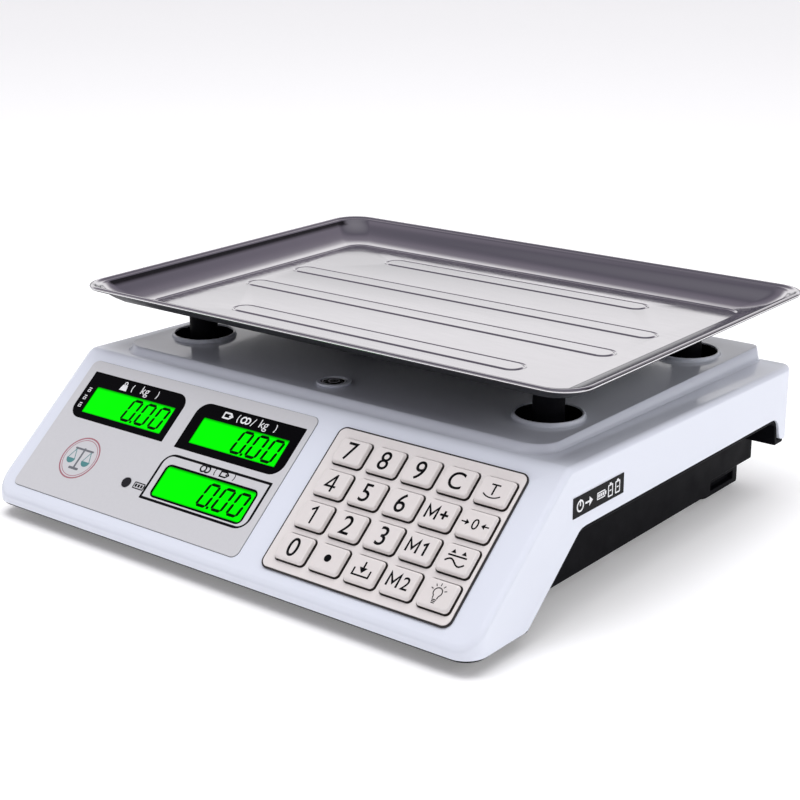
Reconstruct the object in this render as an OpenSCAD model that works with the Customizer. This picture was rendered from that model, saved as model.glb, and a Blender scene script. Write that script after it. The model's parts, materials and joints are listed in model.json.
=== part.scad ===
// Counter price scale: a glossy two-part casing with a sloped operator panel,
// three displays and twenty push keys, and a lift-off steel pan on four posts
// that a load cell inside carries. A second set of displays faces the customer.
// Millimetres. +Z is up, the operator stands on the -Y side, the feet stand on
// Z = 0, and the origin is under the middle of the whole scale.

/* [Casing] */
// Width of the casing, left to right
case_w = 334; // [330:1:338]
// Height of the crease where the sloped panel meets the top
crease_z = 79.1; // [78.6:0.1:79.6]
// Height of the raised deck under the pan
deck_z = 82.9; // [82.4:0.1:84.4]
// Width of the raised deck
deck_w = 294; // [288:1:298]
// Wall thickness of the upper casing
wall = 3; // [2.6:0.1:3.2]
// Plan radius of the two front corners
front_r = 12; // [10:1:14]
// Plan radius of the two rear corners
rear_r = 6; // [4:1:8]

/* [Pan] */
// Length of the pan, left to right
pan_w = 340; // [334:1:350]
// Depth of the pan, front to back
pan_d = 245; // [238:1:246]
// Height of the pan's rim above the table
rim_z = 117.3; // [115.5:0.1:119.5]
// Depth of the dish below the rim
dish_depth = 12.5; // [11:0.5:13]
// Thickness of the pan's sheet
pan_t = 0.8; // [0.6:0.1:1]
// Height of the long ribs above the dish's floor
rib_h = 1.2; // [0.8:0.1:1.6]

/* [Platform] */
// Distance between the posts, left to right
post_x = 243.2; // [238:0.2:248]
// Radius of a support post
post_r = 8.25; // [7:0.25:9]
// Inner radius of the collar round each post
collar_r = 15.7; // [14.5:0.1:16.5]
// Height of a collar above the deck
collar_h = 5; // [3:0.5:7]

/* [Keys] */
// Key spacing across the panel
key_pitch_u = 22.07; // [21.9:0.01:22.2]
// Key spacing down the panel
key_pitch_v = 19.15; // [18.9:0.01:19.3]
// Width of a key top
key_w = 19; // [18:0.1:19.4]
// Height of a key top
key_d = 15.5; // [15:0.1:16]
// How far a key stands out from the keypad plate
key_out = 2.8; // [2.2:0.1:3.2]
// Gap between a key and its hole
key_gap = 0.35; // [0.3:0.05:0.5]

/* [Hidden] */
$fn = 48;
eps = 0.01;

// Colours
white_c = [0.87, 0.89, 0.94];
black_c = [0.07, 0.07, 0.08];
silver_c = [0.66, 0.67, 0.7];
plate_c = [0.75, 0.72, 0.71];
key_c = [0.8, 0.77, 0.76];
lcd_c = [0.3, 0.95, 0.25];
steel_c = [0.75, 0.76, 0.78];
alloy_c = [0.72, 0.73, 0.74];
board_c = [0.1, 0.4, 0.2];
rubber_c = [0.12, 0.12, 0.12];

// Casing, seen from the side: Y runs back, Z runs up
front_y = -159.2;
rear_y = 148.7;
front_top_z = 13.7;
crease_y = -81.5;
rear_top_z = 74.1;
seam_z = 8.4;
leg_end_y = -115;
notch_y = -71;
notch_z = 46.1;
notch_rear_y = 133;
rear_leg_y = 137;
rear_leg_z = 31.5;
slope = atan((crease_z - front_top_z) / (crease_y - front_y));
ledge_fall = (crease_z - rear_top_z) / (rear_y - crease_y);
deck_front_y = -77;
deck_rear_y = 147.2;
deck_front_r = 16;
deck_rear_r = 6;
collar_wall = 2.3;
screw_boss_r = 4.5;
half_w = case_w / 2;

// Lower casing
lip_in = 1.4;
floor_t = 2.5;
tub_x = 147;
tub_wall = 2.5;
tub_z = 7;
tub_front_y = -113.5;
tub_step_y = 95;
tub_rear_z = 15;
tub_rear_y = 143.5;
tub_top_z = 50;
pod_x0 = 108;
pod_x1 = 144;
pod_y0 = 92;
pod_y1 = 136;
pod_z = 3.2;
pod_slot = 9;

// Feet
foot_x = 126;
foot_front_y = -120;
foot_rear_y = 114;
foot_pad_r = 12;
foot_pad_h = 2.8;
stem_r = 4;
stem_top = 25;
boss_top = 17.5;
nut_h = 6;

// Panel sheets: u is across, v is down the slope from the crease
overlay_t = 0.5;
window_t = 0.7;
plate_t = 1.2;
lcd_gap = 1.2;
overlay_area = [-155.6, 7.5, 172.4, 86.5];
display_board_area = [-150.5, 13, 160, 78];
keypad_area = [33.4, 9.2, 115.5, 83.7];
keypad_hole = [38, 13.5, 110, 76];
mat_area = [38.6, 14.2, 109.4, 75];
keypad_u0 = 48.85;
keypad_v0 = 22.65;
windows = [
    [-149.4, 14.5, 76.6, 30.6],
    [-62.9, 15.4, 76, 30.4],
    [-64.5, 49.7, 76.9, 29.7]
];
window_corners = [
    [0.5, 8, 0.5, 8],
    [8, 0.5, 8, 0.5],
    [8, 0.5, 8, 0.5]
];
lcds = [
    [-141.1, 23.6, 63.2, 17.4],
    [-55.4, 24.3, 62.3, 16.7],
    [-58.2, 57.1, 64.7, 18.7]
];
lamp_u = -78.5;
lamp_v = 73.4;
lamp_r = 3;
board_h0 = -6.6;
board_h1 = -5;
mat_h1 = -3.8;
lcd_h0 = -4.2;
cut_depth = -8;

// Customer side: three equal windows in one overlay
rear_window_xs = [-112, -33, 46];
rear_window_z = 44;
rear_window_w = 66;
rear_window_h = 24;
rear_frame_x = 5;
rear_frame_top = 3;

// Platform and load cell
pan_y = 36.7;
rim_w = 2.8;
rim_h = 2.4;
rib_r = 8;
rib_ys = [-69.4, -21.2, 21.2, 69.4];
rib_halves = [95.5, 130, 130, 95.5];
post_y = 69.6;
cell_x = 65;
cell_half_d = 15;
cell_z0 = 28;
cell_z1 = 50;
cell_end = 34;
cell_window_x = 14;
cell_window_r = 8;
anchor_z = 13.5;
frame_z0 = 61;
frame_z1 = 66;
frame_rib_z = 72;
frame_x0 = -40;
frame_x1 = 72;
frame_rib = 3;
rail_half = 9;
pad_h = 3.2;
floor_z = rim_z - dish_depth;
pan_under_z = floor_z - pan_t;
post_top = pan_under_z - pad_h;
bolt_r = 3;
bolt_inset = 10;
bolt_head_r = 5;

// Bubble level
level_y = -57;
level_r = 9.5;
level_h = 1.6;
vial_r = 7;

// Power inlet, on the rear of the lower casing
inlet_x = -70;
inlet_z = 23.6;
inlet_half = 4.3;
inlet_r = 3.9;
inlet_w = 24;
inlet_h = 11.4;

// Main board, on four pillars
board_x0 = 0;
board_x1 = 105;
board_y0 = -80;
board_y1 = -8;
board_z = 16;
board_t = 1.6;

// Rechargeable battery, sealed inside
battery_x0 = -112;
battery_x1 = -11;
battery_y0 = -52;
battery_y1 = -5;
battery_h = 47;

// Transformer
coil_x = 82;
coil_y = 50;

// Dry-cell bay in the bottom, with a sliding door and two rows of cells
bay_x0 = -126.5;
bay_x1 = -24.5;
bay_y0 = 58;
bay_y1 = 89;
bay_top = 24;
bay_wall = 1.5;
cell_r = 7.2;
cell_l = 49;
door_t = 2;
door_y0 = 54;
door_y1 = 91.5;
guide_y0 = 12;
door_grips = 4;
row_ys = [bay_y0 + 7.75, bay_y0 + 23.25];
row_z = 8 + cell_r;

// Switch, under the right-hand edge
switch_x = 121;
switch_y = -52;
switch_half_x = 7;
switch_half_y = 13;
rocker_half_x = 4.8;
rocker_half_y = 10;
rocker_low = 5.5;
rocker_pivot_z = 11;
pivot_r = 1;

screw_x = 138;
screw_ys = [0, 75];

// Switch label, on the right-hand side
label_y0 = -79.2;
label_y1 = -34;
label_z0 = 53;
label_z1 = 63.5;
label_t = 0.3;

// A box between two corners
module block(a, b) {
    translate(a) cube([b[0] - a[0], b[1] - a[1], b[2] - a[2]]);
}

// A flat rectangle with one radius at each corner: tl, tr, br, bl
module corner_rect(w, h, radii) {
    at = [[0, h], [w, h], [w, 0], [0, 0]];
    turn = [-90, 180, 90, 0];
    difference() {
        square([w, h]);
        for (k = [0:3]) {
            translate(at[k]) rotate(turn[k]) corner_bite(radii[k]);
        }
    }
}

// What a corner radius takes off a square corner at the origin
module corner_bite(r) {
    difference() {
        translate([-1, -1]) square([1 + r, 1 + r]);
        translate([r, r]) circle(r = r);
    }
}

// A flat centred rectangle with equal corners
module round_rect(w, h, r) {
    translate([-w / 2, -h / 2]) corner_rect(w, h, [r, r, r, r]);
}

// A side outline of [y, z] points, as wide as 2 * half in X
module across(points, half) {
    translate([-half, 0, 0]) rotate([90, 0, 90]) linear_extrude(2 * half) polygon(points);
}

// The casing's plan outline, pulled in by an amount
module plan(inset) {
    fr = front_r - inset;
    rr = rear_r - inset;
    w = case_w - 2 * inset;
    translate([-w / 2, front_y + inset])
        corner_rect(w, rear_y - front_y - 2 * inset, [rr, rr, fr, fr]);
}

// Puts its children on the sloped panel: X across, -Y down the slope, Z outward
module on_panel() {
    translate([0, crease_y, crease_z]) rotate([slope, 0, 0]) children();
}

// A sheet on the panel between two heights
module panel_sheet(area, radii, h0, h1) {
    on_panel() translate([area[0], -area[1] - area[3], h0]) linear_extrude(h1 - h0)
        corner_rect(area[2], area[3], radii);
}

// A panel area grown by g on every side
function grown(a, g) = [a[0] - g, a[1] - g, a[2] + 2 * g, a[3] + 2 * g];

// Something at each of the four posts
module at_posts() {
    for (sx = [-1, 1]) {
        for (sy = [-1, 1]) {
            translate([sx * post_x / 2, pan_y + sy * post_y, 0]) children();
        }
    }
}

// Something at each of the four feet
module at_feet() {
    for (sx = [-1, 1]) {
        for (y = [foot_front_y, foot_rear_y]) {
            translate([sx * foot_x, y, 0]) children();
        }
    }
}

// Something at each of the four casing screws
module at_screws() {
    for (sx = [-1, 1]) {
        for (y = screw_ys) {
            translate([sx * screw_x, y, 0]) children();
        }
    }
}

// A block at each customer window, pulled in by an amount, between two depths
module rear_window_blocks(inset, y0, y1) {
    for (x = rear_window_xs) {
        block([x + inset, rear_y + y0, rear_window_z + inset],
            [x + rear_window_w - inset, rear_y + y1, rear_window_z + rear_window_h - inset]);
    }
}

// Something at the two bolts of one end of the load cell
module at_cell_bolts(side) {
    for (dx = [-bolt_inset, bolt_inset]) {
        translate([side * (cell_x - cell_end / 2) + dx, pan_y, 0]) children();
    }
}

// Height of the ledge beside the deck
function ledge_z(y) = crease_z - (y - crease_y) * ledge_fall;

// The line a wall thickness inside the sloped panel
function inside_slope_z(y) = front_top_z + (y - front_y) * tan(slope) - wall / cos(slope);

module casing_outside() {
    intersection() {
        across([
            [front_y, seam_z], [front_y, front_top_z], [crease_y, crease_z],
            [rear_y, rear_top_z], [rear_y, rear_leg_z], [rear_leg_y, rear_leg_z],
            [notch_rear_y + 2, notch_z - 3], [notch_rear_y - 3, notch_z],
            [notch_y, notch_z], [leg_end_y, seam_z]
        ], half_w);
        translate([0, 0, -1]) linear_extrude(deck_z) plan(0);
    }
}

module casing_inside() {
    y0 = front_y + wall;
    y1 = crease_y + 1.1;
    intersection() {
        across([
            [y0, -1], [y0, inside_slope_z(y0)], [y1, inside_slope_z(y1)],
            [rear_y - wall, ledge_z(rear_y - wall) - wall], [rear_y - wall, -1]
        ], half_w - wall);
        translate([0, 0, -2]) linear_extrude(deck_z) plan(wall);
    }
}

// The raised deck's block, pulled in by an amount
module deck(inset, top) {
    w = deck_w - 2 * inset;
    fr = deck_front_r - inset;
    rr = deck_rear_r - inset;
    translate([-w / 2, deck_front_y + inset, notch_z + 20]) linear_extrude(top - notch_z - 20)
        corner_rect(w, deck_rear_y - deck_front_y - 2 * inset, [rr, rr, fr, fr]);
}

module upper_casing() {
    color(white_c) difference() {
        union() {
            difference() {
                union() {
                    casing_outside();
                    deck(0, deck_z);
                    at_posts() translate([0, 0, deck_z - 1])
                        cylinder(r = collar_r + collar_wall, h = collar_h + 1);
                }
                casing_inside();
                deck(wall, deck_z - wall);
            }
            at_screws() translate([0, 0, tub_z + floor_t])
                cylinder(r = screw_boss_r, h = deck_z - wall / 2 - tub_z - floor_t);
        }
        at_posts() translate([0, 0, 60]) cylinder(r = collar_r, h = 40);
        at_screws() translate([0, 0, 5]) cylinder(r = 2, h = 20);
        translate([0, level_y, 60]) cylinder(r = vial_r + 0.2, h = 40);
        for (a = lcds) {
            panel_sheet(grown(a, lcd_gap + 0.2), [1, 1, 1, 1], cut_depth, 1);
        }
        on_panel() translate([lamp_u, -lamp_v, cut_depth]) cylinder(r = lamp_r + 0.1, h = 1 - cut_depth);
        panel_sheet(keypad_hole, [3, 3, 3, 3], cut_depth, 1);
        rear_window_blocks(2, -8, 1);
    }
}

// The rim that closes the upper casing's lower edge
module lower_band() {
    intersection() {
        across([
            [front_y, tub_z], [tub_front_y, tub_z], [notch_y + 1.4, notch_z - floor_t],
            [notch_rear_y - 4, notch_z - floor_t], [notch_rear_y, notch_z - 5],
            [rear_leg_y - 2.5, rear_leg_z - floor_t], [rear_y, rear_leg_z - floor_t],
            [rear_y, rear_leg_z], [rear_leg_y, rear_leg_z],
            [notch_rear_y + 2, notch_z - 3], [notch_rear_y - 3, notch_z],
            [notch_y, notch_z], [leg_end_y, seam_z], [front_y, seam_z]
        ], half_w);
        translate([0, 0, -1]) linear_extrude(deck_z) plan(lip_in);
    }
}

module tub_outside() {
    across([
        [tub_front_y, tub_z], [tub_step_y, tub_z], [tub_step_y, tub_rear_z], [tub_rear_y, tub_rear_z],
        [tub_rear_y, tub_top_z], [-60, tub_top_z], [tub_front_y, tub_z + floor_t]
    ], tub_x);
}

module tub_inside() {
    y0 = tub_front_y - eps;
    y1 = tub_step_y - tub_wall;
    y2 = tub_rear_y - tub_wall;
    across([
        [y0, tub_z + floor_t], [y1, tub_z + floor_t], [y1, tub_rear_z + floor_t],
        [y2, tub_rear_z + floor_t], [y2, 60], [y0, 60]
    ], tub_x - tub_wall);
}

module pod(side) {
    mirror([side < 0 ? 1 : 0, 0, 0]) difference() {
        translate([pod_x0, pod_y0, pod_z]) linear_extrude(boss_top - pod_z)
            corner_rect(pod_x1 - pod_x0, pod_y1 - pod_y0, [5, 5, 5, 5]);
        block([pod_x1 - 3, pod_y0 + pod_slot, 6.5], [pod_x1 + 1, pod_y1 - pod_slot, 11]);
    }
}

// A guide strip beside the battery door, with a lip under the door's edge
module door_guide(x, side) {
    translate([x, 0, 0]) mirror([side < 0 ? 1 : 0, 0, 0]) union() {
        block([0.4, guide_y0, 3.6], [2.8, door_y1, tub_z + 0.5]);
        block([-2, guide_y0, 3.6], [0.5, door_y1, 4.7]);
    }
}

module lower_casing() {
    color(black_c) difference() {
        union() {
            difference() {
                union() {
                    lower_band();
                    tub_outside();
                }
                tub_inside();
            }
            pod(1);
            pod(-1);
            at_feet() translate([0, 0, 4]) cylinder(r = 9, h = boss_top - 4);
            door_guide(bay_x1 + 3.5, 1);
            door_guide(bay_x0 - 3, -1);
            block([bay_x0 - bay_wall, bay_y0 - bay_wall, tub_z + 1],
                [bay_x1 + bay_wall, bay_y1 + bay_wall, bay_top + bay_wall]);
            block([-cell_x - 2, pan_y - cell_half_d - 2, tub_z + 1],
                [-cell_x + cell_end + 2, pan_y + cell_half_d + 2, anchor_z]);
            for (x = [board_x0 + 6, board_x1 - 6]) {
                for (y = [board_y0 + 6, board_y1 - 6]) {
                    translate([x, y, tub_z + 1]) cylinder(r = 3, h = board_z - tub_z - 1);
                }
            }
        }
        at_feet() translate([0, 0, -1]) cylinder(r = stem_r + 0.3, h = 40);
        at_screws() translate([0, 0, -1]) cylinder(r = 2.2, h = 30);
        at_screws() translate([0, 0, -1]) cylinder(r = 4.2, h = tub_z + 1.5);
        at_cell_bolts(-1) cylinder(r = bolt_r + 0.3, h = 20);
        at_cell_bolts(-1) cylinder(r = bolt_head_r + 0.8, h = tub_z + 4);
        block([bay_x0, bay_y0, 6], [bay_x1, bay_y1, bay_top]);
        translate([switch_x, switch_y, 0])
            block([-switch_half_x - 0.2, -switch_half_y - 0.2, 6],
                [switch_half_x + 0.2, switch_half_y + 0.2, 12]);
        inlet_block(inlet_w / 2 + 0.1, inlet_h / 2 + 0.1, -5, 1);
    }
}

module display_overlay() {
    color(silver_c) difference() {
        panel_sheet(overlay_area, [4, 4, 4, 4], 0, overlay_t);
        for (k = [0:2]) {
            panel_sheet(windows[k], window_corners[k], -1, 1);
        }
        on_panel() translate([lamp_u, -lamp_v, -1]) cylinder(r = lamp_r + 0.1, h = 3);
    }
}

module display_windows() {
    color(black_c) for (k = [0:2]) {
        panel_sheet(windows[k], window_corners[k], 0, window_t);
    }
}

module lcd_modules() {
    color(lcd_c) for (a = lcds) {
        panel_sheet(grown(a, lcd_gap), [0.8, 0.8, 0.8, 0.8], lcd_h0, 0);
    }
}

module display_board() {
    color(board_c) union() {
        panel_sheet(display_board_area, [2, 2, 2, 2], board_h0, board_h1);
        for (a = lcds) {
            panel_sheet([a[0] + 6, a[1] + 2, a[2] - 12, 3], [0.5, 0.5, 0.5, 0.5], board_h1 - 0.2, lcd_h0);
        }
    }
}

module charge_lamp() {
    color([0.1, 0.1, 0.1]) on_panel() translate([lamp_u, -lamp_v, board_h1])
        cylinder(r = lamp_r, h = overlay_t + 0.3 - board_h1);
}

// A place on the panel under column i and row j of the keypad
module at_key(i, j) {
    on_panel() translate([keypad_u0 + i * key_pitch_u, -keypad_v0 - j * key_pitch_v, 0]) children();
}

module keypad_plate() {
    color(plate_c) difference() {
        panel_sheet(keypad_area, [4, 4, 4, 4], 0, plate_t);
        for (i = [0:4]) {
            for (j = [0:3]) {
                at_key(i, j) translate([0, 0, -1]) linear_extrude(4)
                    round_rect(key_w + 2 * key_gap, key_d + 2 * key_gap, 2.6);
            }
        }
    }
}

module key_mat() {
    color([0.6, 0.6, 0.6]) panel_sheet(mat_area, [2, 2, 2, 2], board_h1, mat_h1);
}

module keypad_board() {
    color(board_c) panel_sheet(mat_area, [2, 2, 2, 2], board_h0, board_h1);
}

// One key: its top, the flange that keeps it in and the plunger under it
module key_cap(i, j) {
    color(key_c) at_key(i, j) union() {
        translate([0, 0, -0.2]) linear_extrude(plate_t + key_out + 0.2) round_rect(key_w, key_d, 2.4);
        translate([0, 0, -1.7]) linear_extrude(1.6) round_rect(key_w + 1.4, key_d + 1.4, 2);
        translate([0, 0, -2.6]) cylinder(r = 2.5, h = 1);
    }
}

module key_7() { key_cap(0, 0); }
module key_8() { key_cap(1, 0); }
module key_9() { key_cap(2, 0); }
module key_clear() { key_cap(3, 0); }
module key_tare() { key_cap(4, 0); }
module key_4() { key_cap(0, 1); }
module key_5() { key_cap(1, 1); }
module key_6() { key_cap(2, 1); }
module key_sum() { key_cap(3, 1); }
module key_zero() { key_cap(4, 1); }
module key_1() { key_cap(0, 2); }
module key_2() { key_cap(1, 2); }
module key_3() { key_cap(2, 2); }
module key_m1() { key_cap(3, 2); }
module key_live() { key_cap(4, 2); }
module key_0() { key_cap(0, 3); }
module key_point() { key_cap(1, 3); }
module key_store() { key_cap(2, 3); }
module key_m2() { key_cap(3, 3); }
module key_light() { key_cap(4, 3); }

// The board, its chips as [x, y, width, depth, height] and cans as [x, y, radius, height]
module main_board() {
    top = board_z + board_t;
    chips = [[20, 20, 18, 18, 2.4], [52, 14, 10, 20, 2], [72, 50, 24, 14, 9.4]];
    cans = [[30, 56, 5, 12], [46, 56, 4, 10]];
    color(board_c) union() {
        block([board_x0, board_y0, board_z], [board_x1, board_y1, top]);
        for (c = chips) {
            translate([board_x0 + c[0], board_y0 + c[1], top - eps]) cube([c[2], c[3], c[4]]);
        }
        for (c = cans) {
            translate([board_x0 + c[0], board_y0 + c[1], top - eps]) cylinder(r = c[2], h = c[3]);
        }
    }
}

// A single-point cell: a bar with two joined round windows at its middle
module load_cell() {
    mid_z = (cell_z0 + cell_z1) / 2;
    color(alloy_c) difference() {
        block([-cell_x, pan_y - cell_half_d, cell_z0], [cell_x, pan_y + cell_half_d, cell_z1]);
        for (dx = [-cell_window_x, cell_window_x]) {
            translate([dx, pan_y + cell_half_d + 1, mid_z]) rotate([90, 0, 0])
                cylinder(r = cell_window_r, h = 2 * cell_half_d + 2);
        }
        block([-cell_window_x, pan_y - cell_half_d - 1, mid_z - 3],
            [cell_window_x, pan_y + cell_half_d + 1, mid_z + 3]);
        for (side = [-1, 1]) {
            at_cell_bolts(side) cylinder(r = bolt_r + 0.1, h = 90);
        }
    }
}

module load_cell_spacer() {
    color(steel_c) difference() {
        block([-cell_x, pan_y - cell_half_d, anchor_z], [-cell_x + cell_end, pan_y + cell_half_d, cell_z0]);
        at_cell_bolts(-1) cylinder(r = bolt_r + 0.3, h = 40);
    }
}

module load_cell_bolts() {
    color(steel_c) at_cell_bolts(-1) union() {
        translate([0, 0, tub_z + 0.5]) cylinder(r = bolt_head_r, h = 3.5);
        translate([0, 0, tub_z + 3]) cylinder(r = bolt_r, h = 36);
    }
}

module platform_bolts() {
    color(steel_c) at_cell_bolts(1) union() {
        translate([0, 0, frame_z1]) cylinder(r = bolt_head_r, h = 4);
        translate([0, 0, cell_z0 + 4]) cylinder(r = bolt_r, h = frame_z1 - cell_z0 - 3);
    }
}

module platform_frame() {
    rail_x = post_x / 2 + 10;
    color(alloy_c) difference() {
        union() {
            block([frame_x0, pan_y - post_y - 8, frame_z0], [frame_x1, pan_y + post_y + 8, frame_z1]);
            block([cell_x - cell_end, pan_y - cell_half_d, cell_z1],
                [cell_x, pan_y + cell_half_d, frame_z0 + 1]);
            for (sy = [-1, 1]) {
                y = pan_y + sy * post_y;
                block([-rail_x, y - rail_half, frame_z0], [rail_x, y + rail_half, frame_z1]);
                for (dy = [-rail_half, rail_half - frame_rib]) {
                    block([-rail_x, y + dy, frame_z1 - 1], [rail_x, y + dy + frame_rib, frame_rib_z]);
                }
            }
            for (x = [frame_x0, frame_x1 - frame_rib]) {
                block([x, pan_y - post_y, frame_z1 - 1], [x + frame_rib, pan_y + post_y, frame_rib_z]);
            }
        }
        at_cell_bolts(1) cylinder(r = bolt_r + 0.1, h = 90);
        at_posts() translate([0, 0, frame_z1]) cylinder(r = post_r + 0.1, h = 20);
        for (y = [pan_y - 38, pan_y + 38]) {
            block([-20, y - 15, frame_z0 - 1], [25, y + 15, frame_z1 + 1]);
        }
    }
}

module support_posts() {
    color(black_c) at_posts() translate([0, 0, frame_z1]) cylinder(r = post_r, h = post_top - frame_z1);
}

module post_pads() {
    color(rubber_c) at_posts() translate([0, 0, post_top]) cylinder(r = post_r - 0.4, h = pad_h - 0.05);
}

// One level of the pan's dish, pulled in from the rim
module pan_level(inset, r, z) {
    translate([0, pan_y, z]) linear_extrude(0.02)
        round_rect(pan_w - 2 * inset, pan_d - 2 * inset, r, $fn = 32);
}

// The dish as stacked levels of [inset, corner radius, height below the rim]
dish_levels = [[1.6, 15.4, 0.4], [6, 14, 4.6], [15, 12, 9.6], [27, 10, dish_depth]];

module dish(drop, inset) {
    for (k = [0:len(dish_levels) - 2]) {
        a = dish_levels[k];
        b = dish_levels[k + 1];
        hull() {
            pan_level(a[0] + inset, a[1] - inset, rim_z - a[2] - drop);
            pan_level(b[0] + inset, b[1] - inset, rim_z - b[2] - drop);
        }
    }
}

// A long rib with round ends on the dish's floor
module pan_rib(y, half_l, z, r, h) {
    translate([0, y, z]) linear_extrude(h) round_rect(2 * half_l, 2 * r, r - 0.01);
}

module weighing_pan() {
    color(steel_c) union() {
        difference() {
            dish(pan_t, 0);
            dish(0, pan_t * 0.6);
        }
        translate([0, pan_y, rim_z - rim_h]) linear_extrude(rim_h) difference() {
            round_rect(pan_w, pan_d, 17, $fn = 32);
            round_rect(pan_w - 2 * rim_w, pan_d - 2 * rim_w, 17 - rim_w, $fn = 32);
        }
        for (k = [0:3]) {
            pan_rib(pan_y + rib_ys[k], rib_halves[k], floor_z - 0.3, rib_r, rib_h + 0.3);
        }
    }
}

module pan_locators() {
    color(black_c) at_posts() translate([0, 0, pan_under_z - 2.6]) difference() {
        cylinder(r = post_r + 1.8, h = 2.6);
        translate([0, 0, -1]) cylinder(r = post_r + 0.4, h = 5);
    }
}

module level_ring() {
    color([0.93, 0.94, 0.96]) translate([0, level_y, deck_z]) difference() {
        cylinder(r = level_r, h = level_h);
        translate([0, 0, -1]) cylinder(r = vial_r + 0.1, h = level_h + 2);
    }
}

module level_vial() {
    color([0.1, 0.12, 0.1]) translate([0, level_y, deck_z - 6]) cylinder(r = vial_r, h = 6 + level_h - 0.6);
}

module battery() {
    top = tub_z + floor_t + battery_h;
    color([0.15, 0.15, 0.17]) union() {
        block([battery_x0, battery_y0, tub_z + floor_t], [battery_x1, battery_y1, top]);
        for (x = [battery_x0 + 20, battery_x0 + 40]) {
            translate([x, battery_y0 + 12, top - 1]) cube([5, 1, 4.5]);
        }
    }
}

// Four dry cells, two rows of two, each with its nipple
module dry_cells() {
    color([0.75, 0.6, 0.25]) for (k = [0:1]) {
        for (y = row_ys) {
            translate([bay_x0 + 1.5 + k * (cell_l + 1.2), y, row_z]) rotate([0, 90, 0]) union() {
                cylinder(r = cell_r, h = cell_l - 1);
                cylinder(r = 2.6, h = cell_l);
            }
        }
    }
}

// A flat contact with a stub at each end of each row of cells
module cell_springs() {
    color(steel_c) for (y = row_ys) {
        translate([0, y, row_z]) {
            block([bay_x0, -5, -5], [bay_x0 + 0.6, 5, 5]);
            translate([bay_x0 + 0.5, 0, 0]) rotate([0, 90, 0]) cylinder(r = 3, h = 0.9);
            block([bay_x1 - 0.6, -5, -5], [bay_x1, 5, 5]);
        }
    }
}

module battery_door() {
    color(black_c) union() {
        block([bay_x0 - 3, door_y0, tub_z - door_t], [bay_x1 + 3.5, door_y1, tub_z - 0.1]);
        for (k = [0:door_grips - 1]) {
            y = door_y0 + 4 + 3 * k;
            block([-92, y, tub_z - door_t - 0.8], [-59, y + 1.2, tub_z - door_t + 0.1]);
        }
    }
}

// A laminated core with its winding's case in front
module transformer() {
    color([0.35, 0.35, 0.37]) translate([coil_x, coil_y, tub_z + floor_t]) union() {
        translate([0, 6, 0]) cube([42, 34, 34]);
        translate([6, 0, 6]) cube([30, 6.5, 22]);
    }
}

// A block centred on the inlet, between two depths behind the rear wall's face
module inlet_block(half_x, half_z, y0, y1) {
    translate([inlet_x, tub_rear_y, inlet_z]) block([-half_x, y0, -half_z], [half_x, y1, half_z]);
}

// A two-pin socket let into the rear wall
module power_inlet() {
    color([0.05, 0.05, 0.05]) union() {
        difference() {
            inlet_block(inlet_w / 2, inlet_h / 2, -18, 0.6);
            for (dx = [-inlet_half, inlet_half]) {
                translate([inlet_x + dx, tub_rear_y + 1, inlet_z]) rotate([90, 0, 0])
                    cylinder(r = inlet_r, h = 15);
            }
            inlet_block(inlet_half, inlet_r, -14, 1);
        }
        for (dx = [-inlet_half, inlet_half]) {
            translate([inlet_x + dx, tub_rear_y - 4, inlet_z]) rotate([90, 0, 0]) cylinder(r = 1.2, h = 11);
        }
    }
}

module side_label() {
    color(black_c) block([half_w, label_y0, label_z0], [half_w + label_t, label_y1, label_z1]);
}

module case_screws() {
    color(steel_c) at_screws() union() {
        translate([0, 0, tub_z - 2.2]) cylinder(r = 3.8, h = 2.6);
        translate([0, 0, tub_z]) cylinder(r = 1.9, h = 16);
    }
}

module rear_overlay() {
    last_x = rear_window_xs[2] + rear_window_w;
    top_z = rear_window_z + rear_window_h;
    color(silver_c) difference() {
        block([rear_window_xs[0] - rear_frame_x, rear_y, rear_window_z - rear_frame_x],
            [last_x + rear_frame_x, rear_y + overlay_t, top_z + rear_frame_top]);
        rear_window_blocks(0, -1, 2);
    }
}

module rear_windows() {
    color(black_c) rear_window_blocks(0, 0, window_t);
}

module rear_lcd_modules() {
    color(lcd_c) rear_window_blocks(2.2, lcd_h0, 0);
}

module foot_nuts() {
    color(steel_c) at_feet() translate([0, 0, boss_top]) difference() {
        cylinder(r = 7.5, h = nut_h, $fn = 6);
        translate([0, 0, -1]) cylinder(r = stem_r + 0.05, h = nut_h + 2);
    }
}

// One levelling foot: a rubber-faced pad on a threaded stem
module foot(x, y) {
    color(rubber_c) translate([x, y, 0]) union() {
        cylinder(r = foot_pad_r, h = foot_pad_h);
        cylinder(r = stem_r, h = stem_top);
    }
}

module foot_front_left() { foot(-foot_x, foot_front_y); }
module foot_front_right() { foot(foot_x, foot_front_y); }
module foot_rear_left() { foot(-foot_x, foot_rear_y); }
module foot_rear_right() { foot(foot_x, foot_rear_y); }

module switch_housing() {
    color(black_c) translate([switch_x, switch_y, 0]) difference() {
        block([-switch_half_x, -switch_half_y, tub_z - 1], [switch_half_x, switch_half_y, 22]);
        block([-rocker_half_x - 0.4, -rocker_half_y - 1.4, 0],
            [rocker_half_x + 0.4, rocker_half_y + 1.4, 17]);
        translate([-10, 0, rocker_pivot_z]) rotate([0, 90, 0]) cylinder(r = pivot_r + 0.05, h = 20);
    }
}

module switch_rocker() {
    color([0.12, 0.12, 0.13]) translate([switch_x, switch_y, 0]) union() {
        block([-rocker_half_x, -rocker_half_y, rocker_low],
            [rocker_half_x, rocker_half_y, rocker_pivot_z + 1.2]);
        translate([0.2 - switch_half_x, 0, rocker_pivot_z]) rotate([0, 90, 0])
            cylinder(r = pivot_r, h = 2 * switch_half_x - 0.4);
    }
}

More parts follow.
